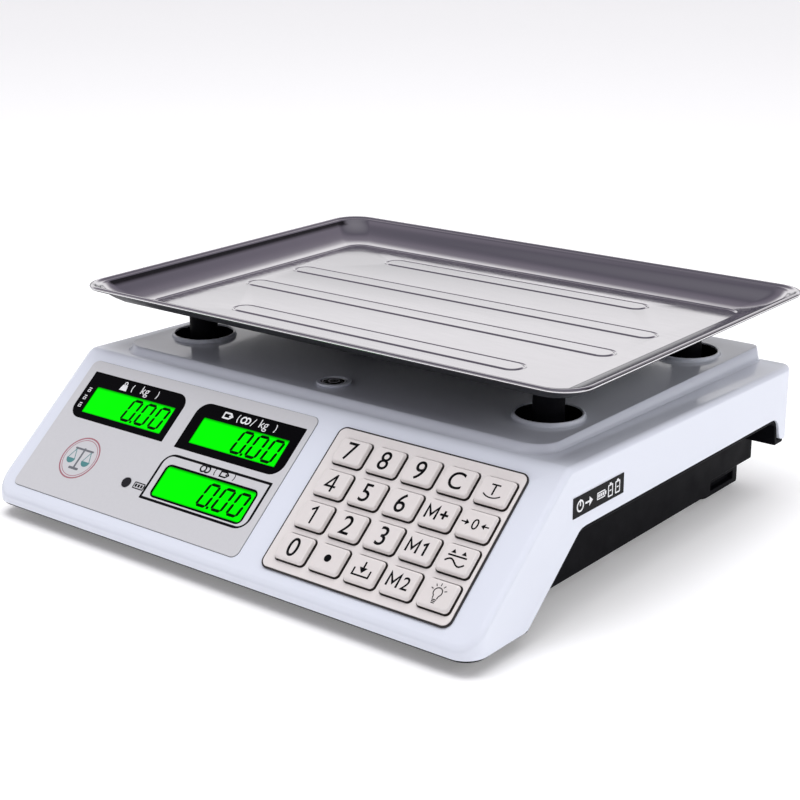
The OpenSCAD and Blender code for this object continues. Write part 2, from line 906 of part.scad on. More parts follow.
upper_casing();
lower_casing();
display_overlay();
display_windows();
lcd_modules();
display_board();
keypad_plate();
key_mat();
keypad_board();
main_board();
load_cell();
load_cell_spacer();
load_cell_bolts();
level_ring();
level_vial();
battery();
transformer();
power_inlet();
side_label();
charge_lamp();
case_screws();
rear_overlay();
rear_windows();
rear_lcd_modules();
foot_nuts();
switch_housing();
platform_frame();
platform_bolts();
support_posts();
post_pads();
weighing_pan();
pan_locators();
switch_rocker();
battery_door();
dry_cells();
cell_springs();
foot_front_left();
foot_front_right();
foot_rear_left();
foot_rear_right();
key_7();
key_8();
key_9();
key_clear();
key_tare();
key_4();
key_5();
key_6();
key_sum();
key_zero();
key_1();
key_2();
key_3();
key_m1();
key_live();
key_0();
key_point();
key_store();
key_m2();
key_light();
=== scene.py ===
"""Looks of the counter price scale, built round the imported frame. Meshes are drawn in mm."""

import json
import math

import bmesh
import bpy
from mathutils import Matrix, Quaternion, Vector


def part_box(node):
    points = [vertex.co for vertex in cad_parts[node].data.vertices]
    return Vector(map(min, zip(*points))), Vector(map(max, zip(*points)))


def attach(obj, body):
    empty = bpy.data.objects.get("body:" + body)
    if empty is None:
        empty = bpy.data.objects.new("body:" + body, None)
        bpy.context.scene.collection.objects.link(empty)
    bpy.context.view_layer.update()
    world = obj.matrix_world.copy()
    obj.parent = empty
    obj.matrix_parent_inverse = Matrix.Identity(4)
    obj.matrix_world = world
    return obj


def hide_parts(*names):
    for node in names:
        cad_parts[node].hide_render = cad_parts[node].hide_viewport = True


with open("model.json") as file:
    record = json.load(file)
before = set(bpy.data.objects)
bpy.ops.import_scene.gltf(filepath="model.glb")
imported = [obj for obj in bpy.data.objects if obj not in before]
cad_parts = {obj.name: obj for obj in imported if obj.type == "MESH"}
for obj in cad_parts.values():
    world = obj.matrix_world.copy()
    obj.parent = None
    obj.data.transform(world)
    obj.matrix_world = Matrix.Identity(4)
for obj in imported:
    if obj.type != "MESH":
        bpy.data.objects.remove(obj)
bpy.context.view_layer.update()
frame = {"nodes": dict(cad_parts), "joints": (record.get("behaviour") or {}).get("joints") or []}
nodes = frame["nodes"]
scene = bpy.context.scene
MM = 0.001

# ---- camera

CAMERA_AT = Vector((0.56218, -0.70019, 0.35370))
CAMERA_AIM = Vector((0.00874, -0.01157, 0.06318))
CAMERA_LENS = 75.284
CAMERA_ROLL = -0.00706

camera_data = bpy.data.cameras.new("camera")
camera_data.lens = CAMERA_LENS
camera_data.sensor_width = 36.0
camera_data.clip_start = 0.01
camera_data.clip_end = 50.0
camera = bpy.data.objects.new("camera", camera_data)
scene.collection.objects.link(camera)
camera.location = CAMERA_AT
level = (CAMERA_AIM - CAMERA_AT).to_track_quat("-Z", "Y")
camera.rotation_euler = (level @ Quaternion((0.0, 0.0, 1.0), CAMERA_ROLL)).to_euler()
scene.camera = camera

# ---- materials


def node(tree, kind, **values):
    """A shader node with its properties and unlinked inputs set by name."""
    made = tree.nodes.new(kind)
    for key, value in values.items():
        if hasattr(made, key):
            setattr(made, key, value)
        else:
            made.inputs[key.replace("_", " ")].default_value = value
    return made


def noise_of(tree, where, scale, stretch, detail=4.0):
    """A noise texture in object space; stretch, if any, scales the three axes first."""
    source = where.outputs["Object"]
    if stretch:
        mapping = node(tree, "ShaderNodeMapping")
        mapping.inputs["Scale"].default_value = stretch
        tree.links.new(source, mapping.inputs["Vector"])
        source = mapping.outputs["Vector"]
    tex = node(tree, "ShaderNodeTexNoise", Scale=scale, Detail=detail, Roughness=0.55)
    tree.links.new(source, tex.inputs["Vector"])
    return tex.outputs["Fac"]


def ranged(tree, value, low, high, from_low=0.3, from_high=0.7):
    """A value mapped from one range to another, by default a noise's middle range."""
    tool = node(tree, "ShaderNodeMapRange", From_Min=from_low, From_Max=from_high, To_Min=low, To_Max=high)
    tree.links.new(value, tool.inputs["Value"])
    return tool.outputs["Result"]


def blend_colour(tree, factor, first, second):
    """A mix of two colours by a factor."""
    mix = node(tree, "ShaderNodeMix", data_type="RGBA")
    mix.inputs[6].default_value = (*first, 1.0)
    mix.inputs[7].default_value = (*second, 1.0)
    tree.links.new(factor, mix.inputs[0])
    return mix.outputs[2]


def surface(name, colour, rough, metal=0.0, tint=0.03, tint_scale=60.0, rough_vary=0.04,
            rough_scale=90.0, bump=0.0, bump_scale=900.0, coat=0.0, stretch=None, specular=0.5,
            second=None, glow=None, glow_power=0.0):
    """A principled material whose colour, roughness and bump all vary a little over the surface."""
    mat = bpy.data.materials.new(name)
    mat.use_nodes = True
    tree = mat.node_tree
    shader = tree.nodes["Principled BSDF"]
    where = node(tree, "ShaderNodeTexCoord")
    second = second or tuple(c * (1.0 - tint) for c in colour)
    patch = ranged(tree, noise_of(tree, where, tint_scale, stretch), 0.0, 1.0)
    tree.links.new(blend_colour(tree, patch, colour, second), shader.inputs["Base Color"])
    worn = ranged(tree, noise_of(tree, where, rough_scale, stretch, 3.0),
                  max(rough - rough_vary, 0.02), rough + rough_vary)
    tree.links.new(worn, shader.inputs["Roughness"])
    shader.inputs["Metallic"].default_value = metal
    shader.inputs["Specular IOR Level"].default_value = specular
    if coat:
        shader.inputs["Coat Weight"].default_value = coat
        shader.inputs["Coat Roughness"].default_value = 0.06
    if bump:
        relief = node(tree, "ShaderNodeBump", Strength=1.0, Distance=bump)
        tree.links.new(noise_of(tree, where, bump_scale, stretch, 2.0), relief.inputs["Height"])
        tree.links.new(relief.outputs["Normal"], shader.inputs["Normal"])
    if glow:
        shader.inputs["Emission Color"].default_value = (*glow, 1.0)
        shader.inputs["Emission Strength"].default_value = glow_power
    return mat


WHITE = surface("white_abs", (0.80, 0.835, 0.93), 0.17, tint=0.015, tint_scale=18.0, rough_vary=0.03,
                rough_scale=25.0, bump=0.000004, bump_scale=120.0, coat=0.35)
BLACK = surface("black_abs", (0.006, 0.006, 0.008), 0.45, tint=0.25, tint_scale=160.0, rough_vary=0.07,
                bump=0.00003, bump_scale=2600.0, specular=0.03)
BLACK_GLOSS = surface("black_gloss", (0.003, 0.003, 0.004), 0.24, tint=0.2, specular=0.06)
SILVER = surface("silver_film", (0.635, 0.635, 0.66), 0.42, tint=0.02, tint_scale=500.0, rough_scale=500.0,
                 specular=0.35)
FRAME_BLACK = surface("window_ink", (0.0015, 0.0015, 0.002), 0.16, tint=0.2, rough_vary=0.03, specular=0.12)
PRINT_BLACK = surface("print_black", (0.002, 0.002, 0.003), 0.45, tint=0.2, specular=0.15)
PRINT_WHITE = surface("print_white", (0.9, 0.91, 0.93), 0.4, tint=0.03)
PRINT_GREY = surface("print_grey", (0.16, 0.17, 0.19), 0.4, tint=0.1)
PLATE = surface("champagne_plate", (0.88, 0.835, 0.82), 0.38, metal=0.1, tint=0.02, tint_scale=400.0,
                rough_scale=300.0)
KEY = surface("champagne_key", (0.83, 0.785, 0.77), 0.32, metal=0.08, tint=0.015, tint_scale=400.0,
              rough_scale=300.0, coat=0.1)
# Painted shade: the lower sides of the keys, champagne in reality, coloured near black for the shade in the
# gaps round them
KEY_SKIRT_SHADE = surface("key_skirt_painted_shade", (0.022, 0.016, 0.014), 0.5, tint=0.2, specular=0.2)
STEEL = surface("polished_steel", (0.74, 0.73, 0.75), 0.10, metal=1.0, tint=0.03, tint_scale=14.0,
                rough_vary=0.035, rough_scale=260.0, stretch=(0.25, 3.0, 1.0),
                bump=0.0000012, bump_scale=700.0)
# Painted shade: the pan is steel on both faces, but its underside is coloured near black so the deck below
# it stays dark
PAN_UNDERSIDE_SHADE = surface("pan_underside_painted_shade", (0.03, 0.03, 0.034), 0.45, metal=0.8, tint=0.15, tint_scale=40.0,
                    bump=0.00001, bump_scale=900.0)
ZINC = surface("zinc_steel", (0.56, 0.57, 0.6), 0.3, metal=1.0, tint=0.12, tint_scale=300.0)
ALLOY = surface("cast_alloy", (0.6, 0.61, 0.63), 0.42, metal=1.0, tint=0.1, tint_scale=220.0,
                bump=0.00003, bump_scale=900.0)
BOARD = surface("solder_mask", (0.01, 0.12, 0.045), 0.28, tint=0.35, tint_scale=900.0)
SILICONE = surface("grey_silicone", (0.35, 0.35, 0.36), 0.55, tint=0.1)
RUBBER = surface("black_rubber", (0.022, 0.022, 0.024), 0.72, tint=0.3, tint_scale=400.0,
                 bump=0.00004, bump_scale=1800.0)
NYLON = surface("black_nylon", (0.014, 0.014, 0.016), 0.5, tint=0.3, tint_scale=500.0,
                bump=0.00003, bump_scale=2400.0)
WRAP = surface("cell_wrap", (0.5, 0.3, 0.05), 0.3, tint=0.2, second=(0.04, 0.04, 0.045))
CASE = surface("battery_case", (0.05, 0.055, 0.065), 0.5, tint=0.2, bump=0.00003, bump_scale=1500.0)
LENS = surface("smoked_lens", (0.01, 0.01, 0.012), 0.1, tint=0.2, coat=0.5)
DIGIT = surface("digit_ink", (0.0, 0.006, 0.0), 0.3, tint=0.2, specular=0.1)
ROSE = surface("rose_ink", (0.42, 0.17, 0.21), 0.4, tint=0.1)
TEAL = surface("teal_ink", (0.09, 0.27, 0.28), 0.4, tint=0.1)

CAD_LOOKS = {
    "upper_casing": WHITE, "lower_casing": BLACK, "display_overlay": SILVER,
    "display_windows": FRAME_BLACK, "lcd_modules": FRAME_BLACK, "display_board": BOARD,
    "keypad_plate": PLATE, "key_mat": SILICONE, "keypad_board": BOARD, "main_board": BOARD,
    "load_cell": ALLOY, "load_cell_spacer": ALLOY, "load_cell_bolts": ZINC, "level_ring": WHITE,
    "level_vial": LENS, "battery": CASE, "transformer": ZINC, "power_inlet": NYLON,
    "side_label": BLACK_GLOSS, "charge_lamp": LENS, "case_screws": ZINC, "rear_overlay": SILVER,
    "rear_windows": FRAME_BLACK, "rear_lcd_modules": FRAME_BLACK, "foot_nuts": ZINC,
    "switch_housing": NYLON, "dry_cells": WRAP, "cell_springs": ZINC, "platform_frame": ALLOY,
    "platform_bolts": ZINC, "support_posts": BLACK, "post_pads": RUBBER, "weighing_pan": STEEL,
    "pan_locators": BLACK, "switch_rocker": NYLON, "battery_door": BLACK,
}

for name, cad_node in nodes.items():
    cad_node.data.materials.clear()
    cad_node.data.materials.append(CAD_LOOKS.get(name, RUBBER if name.startswith("foot_") else KEY))

# ---- floor and light

floor_mesh = bpy.data.meshes.new("floor")
FLOOR_HALF = 6.0
floor_mesh.from_pydata([(-FLOOR_HALF, -FLOOR_HALF, 0), (FLOOR_HALF, -FLOOR_HALF, 0),
                        (FLOOR_HALF, FLOOR_HALF, 0), (-FLOOR_HALF, FLOOR_HALF, 0)], [], [(0, 1, 2, 3)])
floor = bpy.data.objects.new("floor", floor_mesh)
scene.collection.objects.link(floor)
floor_mesh.materials.append(surface("pale_floor", (0.93, 0.93, 0.935), 0.6, tint=0.01, tint_scale=3.0,
                                    glow=(1.0, 1.0, 1.0), glow_power=0.2))
floor.location.z = -0.0002

# Brightness of the studio by the height of the direction looked in: dark at the horizon, a white band
# above it and a dark ceiling, so that polished steel shows dark bands
SKY = [(0.0, (0.10, 0.10, 0.11)), (0.10, (0.14, 0.14, 0.15)), (0.2, (0.6, 0.6, 0.61)),
       (0.27, (1.0, 0.985, 1.0)), (0.40, (0.95, 0.93, 0.95)),
       (0.47, (0.55, 0.53, 0.56)), (0.56, (0.24, 0.22, 0.26)), (0.68, (0.20, 0.18, 0.22)),
       (0.8, (0.13, 0.12, 0.15)), (1.0, (0.24, 0.23, 0.26))]

world = bpy.data.worlds.new("studio")
scene.world = world
world.use_nodes = True
tree = world.node_tree
direction = node(tree, "ShaderNodeTexCoord")
split = node(tree, "ShaderNodeSeparateXYZ")
ramp = node(tree, "ShaderNodeValToRGB")
tree.links.new(direction.outputs["Generated"], split.inputs["Vector"])
tree.links.new(split.outputs["Z"], ramp.inputs["Fac"])


def combined(operation, first, second):
    """Two values put together by a math node of the world."""
    tool = node(tree, "ShaderNodeMath", operation=operation)
    tree.links.new(first, tool.inputs[0])
    tree.links.new(second, tool.inputs[1])
    return tool.outputs["Value"]


# Low down, the side the operator stands on is darker
lift = combined("MAXIMUM", ranged(tree, split.outputs["Y"], 0.4, 1.0, -0.9, 0.1),
                ranged(tree, split.outputs["Z"], 0.4, 1.0, 0.15, 0.6))
# A dark flag stands behind the scale on the right
flag = combined("MAXIMUM", ranged(tree, split.outputs["X"], 1.0, 0.1, 0.15, 0.35),
                ranged(tree, split.outputs["Y"], 1.0, 0.1, 0.2, 0.4))
dimmed = node(tree, "ShaderNodeMix", data_type="RGBA", blend_type="MULTIPLY")
dimmed.inputs[0].default_value = 1.0
tree.links.new(ramp.outputs["Color"], dimmed.inputs[6])
tree.links.new(combined("MULTIPLY", lift, flag), dimmed.inputs[7])
tree.links.new(dimmed.outputs[2], tree.nodes["Background"].inputs["Color"])
tree.nodes["Background"].inputs["Strength"].default_value = 1.0
stops = ramp.color_ramp.elements
for k, (height, colour) in enumerate(SKY):
    stop = stops[k] if k < 2 else stops.new(height)
    stop.position = height
    stop.color = (*colour, 1.0)


def lamp(name, kind, power, at, aim):
    """A light at a place, pointed at another, that mirrors don't show."""
    data = bpy.data.lights.new(name, kind)
    data.energy = power
    light = bpy.data.objects.new(name, data)
    scene.collection.objects.link(light)
    light.location = at
    light.rotation_euler = (Vector(aim) - Vector(at)).to_track_quat("-Z", "Y").to_euler()
    light.visible_glossy = False
    return data


for name, power, at, aim, size in (("key_light", 17.5, (-0.3, -0.4, 2.0), (0, 0, 0.05), (1.3, 1.3)),
                                   ("side_light", 4.0, (1.3, 0.25, 0.75), (0.1, 0.0, 0.08), (1.0, 0.5))):
    softbox = lamp(name, "AREA", power, at, aim)
    softbox.shape = "RECTANGLE"
    softbox.size, softbox.size_y = size
SKY_SPREAD = math.radians(60)
lamp("sky_light", "SUN", 1.5, (0.1, 0.2, 1.0), (0.0, 0.0, 0.0)).angle = SKY_SPREAD
scene.view_settings.view_transform = "Standard"

# ---- mesh tools


def link(name, bm, mat, body, replaces=(), place=None, mats=None):
    """Turns a bmesh in mm into a piece that rides on a body."""
    bmesh.ops.recalc_face_normals(bm, faces=bm.faces)
    bmesh.ops.scale(bm, vec=(MM, MM, MM), verts=bm.verts)
    if place is not None:
        bmesh.ops.transform(bm, matrix=place, verts=bm.verts)
    data = bpy.data.meshes.new(name)
    bm.to_mesh(data)
    bm.free()
    for m in mats or [mat]:
        data.materials.append(m)
    piece = bpy.data.objects.new(name, data)
    scene.collection.objects.link(piece)
    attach(piece, body)
    if replaces:
        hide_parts(*replaces)
    return piece


def rounded(w, h, radii, n=7, at=(0.0, 0.0)):
    """Points of a w by h rectangle whose lower-left corner is at a place, anticlockwise.

    radii are those of the corners bl, br, tr, tl; every corner has n + 1 points.
    """
    x0, y0 = at
    corners = [(x0, y0, 180), (x0 + w, y0, 270), (x0 + w, y0 + h, 0), (x0, y0 + h, 90)]
    inward = [(1, 1), (-1, 1), (-1, -1), (1, -1)]
    out = []
    for (cx, cy, start), (sx, sy), r in zip(corners, inward, radii):
        for k in range(n + 1):
            a = math.radians(start + 90.0 * k / n)
            out.append((cx + sx * r + r * math.cos(a), cy + sy * r + r * math.sin(a)))
    return out


def centred(w, h, r, n=7, at=(0.0, 0.0)):
    """A rounded rectangle round a centre."""
    return rounded(w, h, [r] * 4, n, (at[0] - w / 2, at[1] - h / 2))


def round_loop(r, n=48, at=(0.0, 0.0)):
    return [(at[0] + r * math.cos(2 * math.pi * k / n), at[1] + r * math.sin(2 * math.pi * k / n))
            for k in range(n)]


def inset(points, d):
    """A closed anticlockwise outline without repeated points, moved inwards by d."""
    out = []
    count = len(points)
    for k in range(count):
        before, p, after = (Vector(points[j % count]) for j in (k - 1, k, k + 1))
        a = (p - before).normalized()
        b = (after - p).normalized()
        na = Vector((-a.y, a.x))
        m = (na + Vector((-b.y, b.x))).normalized()
        out.append(tuple(p + m * (d / max(m.dot(na), 0.35))))
    return out


SHEET_STEPS = 3


def ring(bm, points, z):
    return [bm.verts.new((x, y, z)) for x, y in points]


def bridge(bm, low, high, smooth=True, index=0):
    """Quads between two rings of the same count."""
    count = len(low)
    for k in range(count):
        j = (k + 1) % count
        face = bm.faces.new((low[k], low[j], high[j], high[k]))
        face.smooth = smooth
        face.material_index = index


def loft(bm, sections, cap_low=True, cap_high=True, index=0):
    """Rings of (points, z) joined in order, with flat caps."""
    rings = [ring(bm, points, z) for points, z in sections]
    for low, high in zip(rings, rings[1:]):
        bridge(bm, low, high, index=index)
    if cap_low:
        bm.faces.new(rings[0]).material_index = index
    if cap_high:
        bm.faces.new(rings[-1]).material_index = index
    return rings


def cleaned(points):
    """The outline without repeated points."""
    out = []
    for p in points:
        if not out or (Vector(p) - Vector(out[-1])).length > 1e-5:
            out.append(p)
    if (Vector(out[0]) - Vector(out[-1])).length < 1e-5:
        out.pop()
    return out


def fill(bm, rings):
    """A flat face inside the first ring with the other rings as holes."""
    edges = []
    for verts in rings:
        for k in range(len(verts)):
            pair = (verts[k], verts[(k + 1) % len(verts)])
            edges.append(bm.edges.get(pair) or bm.edges.new(pair))
    made = bmesh.ops.triangle_fill(bm, use_beauty=True, use_dissolve=False, edges=edges)
    for item in made["geom"]:
        if isinstance(item, bmesh.types.BMFace):
            item.smooth = False


def sheet(bm, outer, holes, thick, edge=0.12):
    """A flat sheet with softly rounded top edges, round the outline and round each hole."""
    bottoms = []
    tops = []
    outlines = [(cleaned(outer), 1.0)] + [(cleaned(h), -1.0) for h in holes]
    for points, sign in outlines:
        low = ring(bm, points, 0.0)
        bottoms.append(low)
        last = ring(bm, points, thick - edge)
        bridge(bm, low, last)
        for k in range(1, SHEET_STEPS + 1):
            a = math.pi / 2 * k / SHEET_STEPS
            now = ring(bm, inset(points, sign * edge * (1 - math.cos(a))), thick - edge + edge * math.sin(a))
            bridge(bm, last, now)
            last = now
        tops.append(last)
    fill(bm, bottoms)
    fill(bm, tops)


def flat_mark(bm, points, z0, z1):
    """A thin printed shape with square edges."""
    pts = cleaned(points)
    low = ring(bm, pts, z0)
    high = ring(bm, pts, z1)
    bridge(bm, low, high, False)
    fill(bm, [low])
    fill(bm, [high])


def ribbon(points, width):
    """The outline of a line of a given width along some points."""
    left = []
    right = []
    for k, p in enumerate(points):
        p = Vector(p)
        a = (p - Vector(points[k - 1])).normalized() if k else None
        b = (Vector(points[k + 1]) - p).normalized() if k < len(points) - 1 else None
        a = a or b
        b = b or a
        m = (Vector((-a.y, a.x)) + Vector((-b.y, b.x))).normalized()
        reach = width / 2 / max(m.dot(Vector((-a.y, a.x))), 0.4)
        left.append(tuple(p + m * reach))
        right.append(tuple(p - m * reach))
    return right + left[::-1]


def arc(cx, cy, r, start, end, n=16):
    """Points on an arc, angles in degrees."""
    return [(cx + r * math.cos(math.radians(start + (end - start) * k / n)),
             cy + r * math.sin(math.radians(start + (end - start) * k / n))) for k in range(n + 1)]


def moved(points, dx, dy, scale=1.0):
    return [(x * scale + dx, y * scale + dy) for x, y in points]


def frame_mark(bm, outer, inner, z0, z1):
    """A thin printed outline between two loops."""
    outer = cleaned(outer)
    inner = cleaned(inner)
    bottoms = [ring(bm, outer, z0), ring(bm, inner, z0)]
    tops = [ring(bm, outer, z1), ring(bm, inner, z1)]
    for low, high in zip(bottoms, tops):
        bridge(bm, low, high, False)
    fill(bm, bottoms)
    fill(bm, tops)


def area(a, radii, n=7, grow=0.0):
    """The outline of a (u, v, w, h) panel area, grown on every side."""
    u, v, w, h = a
    return rounded(w + 2 * grow, h + 2 * grow, [max(r + grow, 0.01) for r in radii], n,
                   (u - grow, -v - h - grow))


# ---- casing

CASE_HALF_W = 167.0
CASE_Y = (-159.2, 148.7)
CASE_RADII = (12.0, 6.0)
DECK_HALF_W = 147.0
DECK_Y = (-77.0, 147.2)
DECK_RADII = (16.0, 6.0)
DECK_Z = 82.9
CREASE_Y, CREASE_Z = -81.5, 79.1
FRONT_TOP_Z, REAR_TOP_Z = 13.7, 74.1
SKIN = 2.4
WALL_T = 3.0
CREASE_SOFT = 2.6
POST_R = 8.25
KEYPAD_HOLE = (38.0, 13.5, 110.0, 76.0)
# Lower edge of the casing seen from the side, as (y, z): front skirt, side cut-out and rear leg
LOWER_EDGE = [(-160.0, 8.4), (-117.5, 8.4), (-115.2, 8.9), (-113.0, 10.3), (-75.0, 42.8), (-72.8, 44.6),
              (-70.4, 45.7), (-67.0, 46.1), (126.0, 46.1), (129.5, 45.7), (132.2, 44.6), (134.2, 42.4),
              (135.4, 39.0), (136.4, 35.4), (137.8, 33.0), (139.8, 31.8), (142.0, 31.5), (150.0, 31.5)]
# A collar's outline from the deck up and over, as (radius, height above the deck)
COLLAR = [(19.4, 0.0), (18.9, 0.2), (18.6, 0.6), (18.5, 1.2), (18.5, 1.7), (18.4, 2.05), (18.1, 2.25),
          (17.7, 2.3), (17.3, 2.2), (17.05, 1.9), (17.0, 1.4)]
COLLAR_BORE = 17.0
COLLAR_POINTS = 48
EDGE_STEPS, FLANK_STEPS = 6, 8
SHARP_FROM = math.radians(50)

panel_rise = (CREASE_Z - FRONT_TOP_Z) / (CREASE_Y - CASE_Y[0])
ledge_fall = (CREASE_Z - REAR_TOP_Z) / (CASE_Y[1] - CREASE_Y)


def top_z(y):
    """Height of the casing's top at a depth, with the crease rounded."""
    side = y - CREASE_Y
    if abs(side) >= CREASE_SOFT:
        return CREASE_Z + side * (panel_rise if side < 0 else -ledge_fall)
    t = (side + CREASE_SOFT) / (2 * CREASE_SOFT)
    front = CREASE_Z - CREASE_SOFT * panel_rise
    back = CREASE_Z - CREASE_SOFT * ledge_fall
    return (1 - t) ** 2 * front + 2 * t * (1 - t) * CREASE_Z + t * t * back


def lower_z(y):
    """Height of the casing's lower edge at a depth."""
    for (y0, z0), (y1, z1) in zip(LOWER_EDGE, LOWER_EDGE[1:]):
        if y <= y1:
            return z0 + (z1 - z0) * (y - y0) / (y1 - y0)
    return LOWER_EDGE[-1][1]


def plan_outline(half_w, ys, radii, stations=()):
    """Plan outline as (x, y, nx, ny) with outward normals, anticlockwise from the left end of the front."""
    n = 10
    out = []
    for (sx, sy, start) in ((-1, 0, 180), (1, 0, 270), (1, 1, 0), (-1, 1, 90)):
        r = radii[sy]
        cx = sx * (half_w - r)
        cy = ys[sy] + (r if sy == 0 else -r)
        for k in range(n + 1):
            a = math.radians(start + 90.0 * k / n)
            out.append((cx + r * math.cos(a), cy + r * math.sin(a), math.cos(a), math.sin(a)))
        if (sx, sy) == (1, 0):
            out += [(half_w, y, 1.0, 0.0) for y in stations]
    return out + [(-half_w, y, -1.0, 0.0) for y in reversed(stations)]


def ring_at(bm, outline, pull, height):
    """A ring of the outline pulled inwards; pull and height are functions of a point's normal and depth."""
    verts = []
    for x, y, nx, ny in outline:
        d = pull(nx, ny)
        yy = y - ny * d
        verts.append(bm.verts.new((x - nx * d, yy, height(yy, nx, ny))))
    return verts


def top_edge_r(nx, ny):
    """Radius of the casing's upper edge: softest at the sides, tight at the back."""
    return 3.4 * nx * nx + (2.4 if ny < 0 else 1.0) * ny * ny


def close_top(bm, verts, panel_holes, ledge_holes):
    """Fills a ring that follows top_z: the panel, narrow strips over the crease, and the ledge."""
    def pair(y):
        found = [v for v in verts if abs(v.co.y - y) < 0.001]
        return min(found, key=lambda v: v.co.x), max(found, key=lambda v: v.co.x)

    rows = [pair(y) for y in CREASE_STATIONS]
    for (left0, right0), (left1, right1) in zip(rows, rows[1:]):
        bm.faces.new((left0, right0, right1, left1))
    count = len(verts)
    for (start, end), holes in ((rows[0], panel_holes), (rows[-1][::-1], ledge_holes)):
        k = verts.index(start)
        loop = [start]
        while loop[-1] is not end:
            k = (k + 1) % count
            loop.append(verts[k])
        fill(bm, [loop] + holes)


CREASE_STATIONS = [CREASE_Y + CREASE_SOFT * k / 3 for k in range(-3, 4)]
POSTS = []
low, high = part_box("support_posts")
for sx in (-1, 1):
    for y in (low.y / MM + POST_R, high.y / MM - POST_R):
        POSTS.append((sx * (high.x / MM - POST_R), y))


def upper_shell():
    """The upper casing: rounded edges, soft crease, raised deck with its collars, cut-outs in the sides."""
    bm = bmesh.new()
    stations = sorted([y for y, z in LOWER_EDGE if -147.0 < y < 142.5] + CREASE_STATIONS)
    case = plan_outline(CASE_HALF_W, CASE_Y, CASE_RADII, stations)
    rings = [
        ring_at(bm, case, lambda nx, ny: WALL_T, lambda y, nx, ny: top_z(y) - SKIN),
        ring_at(bm, case, lambda nx, ny: WALL_T, lambda y, nx, ny: lower_z(y))]
    # The rounded lower edge, as (distance in, height above it)
    for d, up in ((0.5, 0.0), (0.15, 0.15), (0.0, 0.5)):
        rings.append(ring_at(bm, case, lambda nx, ny: d, lambda y, nx, ny: lower_z(y) + up))
    for k in range(EDGE_STEPS + 1):
        a = math.pi / 2 * k / EDGE_STEPS
        rings.append(ring_at(bm, case, lambda nx, ny: top_edge_r(nx, ny) * (1 - math.cos(a)),
                             lambda y, nx, ny: top_z(y) - top_edge_r(nx, ny) * (1 - math.sin(a))))
    for inner, outer in zip(rings, rings[1:]):
        bridge(bm, inner, outer)

    # The deck's flank rises from the ledge in a soft step
    deck = plan_outline(DECK_HALF_W, DECK_Y, DECK_RADII)
    flank = []
    for k in range(FLANK_STEPS + 1):
        t = k / FLANK_STEPS
        rise = t * t * (3 - 2 * t)

        def pull(nx, ny):
            foot = 2.2 * nx * nx + (1.2 if ny < 0 else 0.25) * ny * ny
            run = 2.6 * nx * nx + (5.8 if ny < 0 else 2.2) * ny * ny
            return -foot + run * t

        flank.append(ring_at(bm, deck, pull, lambda y, nx, ny: top_z(y) + (DECK_Z - top_z(y)) * rise))
    for v in flank[0]:
        v.co.z = top_z(v.co.y)
    for inner, outer in zip(flank, flank[1:]):
        bridge(bm, inner, outer)
    tubes = []
    feet = []
    for x, y in POSTS:
        last = None
        for r, z in COLLAR + [(COLLAR_BORE, None)]:
            loop = round_loop(r, COLLAR_POINTS, (x, y))
            now = [bm.verts.new((px, py, top_z(py) - SKIN if z is None else DECK_Z + z)) for px, py in loop]
            built = len(bm.faces)
            if last:
                bridge(bm, last, now)
            else:
                feet.append(now)
            # Painted shade: the bore from the collar down to the skin takes the black material, for the dark
            # inside of the hole
            if z is None:
                bm.faces.ensure_lookup_table()
                for face in bm.faces[built:]:
                    face.material_index = 1
            last = now
        tubes.append(last)
    fill(bm, [flank[-1]] + feet)
    # Length down the slope for each mm of y
    slant = math.hypot(1.0, panel_rise)
    hole = cleaned([(u, CREASE_Y + v / slant) for u, v in area(KEYPAD_HOLE, [3.0] * 4)])
    upper = [bm.verts.new((x, y, top_z(y))) for x, y in hole]
    lower = [bm.verts.new((x, y, top_z(y) - SKIN)) for x, y in hole]
    bridge(bm, lower, upper)
    close_top(bm, rings[-1], [upper], [flank[0]])
    close_top(bm, rings[0], [lower], tubes)
    bmesh.ops.recalc_face_normals(bm, faces=bm.faces)
    for face in bm.faces:
        face.smooth = True
    for edge in bm.edges:
        edge.smooth = edge.calc_face_angle(0.0) < SHARP_FROM
    piece = link("casing_shell", bm, WHITE, "housing", ["upper_casing"], mats=[WHITE, BLACK])
    piece.modifiers.new("normals", "WEIGHTED_NORMAL").keep_sharp = True


upper_shell()


def soften(name, width):
    """Rounds a CAD node's sharp edges a little, without touching its mesh."""
    piece = nodes[name]
    weld = piece.modifiers.new("weld", "WELD")
    weld.merge_threshold = 0.002 * MM
    flat = piece.modifiers.new("flat", "DECIMATE")
    flat.decimate_type = "DISSOLVE"
    flat.angle_limit = math.radians(0.5)
    bevel = piece.modifiers.new("soft_edges", "BEVEL")
    bevel.limit_method = "ANGLE"
    bevel.angle_limit = math.radians(30.0)
    bevel.width = width * MM
    bevel.segments = 3
    bevel.use_clamp_overlap = False
    piece.modifiers.new("normals", "WEIGHTED_NORMAL")


for name, width in (("lower_casing", 0.5), ("level_ring", 0.35), ("support_posts", 0.4), ("post_pads", 0.5),
                    ("pan_locators", 0.3), ("battery_door", 0.4), ("switch_rocker", 0.5),
                    ("switch_housing", 0.25), ("power_inlet", 0.25), ("platform_frame", 0.3),
                    ("load_cell", 0.3)):
    soften(name, width)

# ---- pan

PAN_W, PAN_D = 340.0, 245.0
PAN_Y = 36.7
PAN_T = 0.8
PAN_R = 17.0
FLOOR_R = 10.0
FLOOR_INSET = 27.0
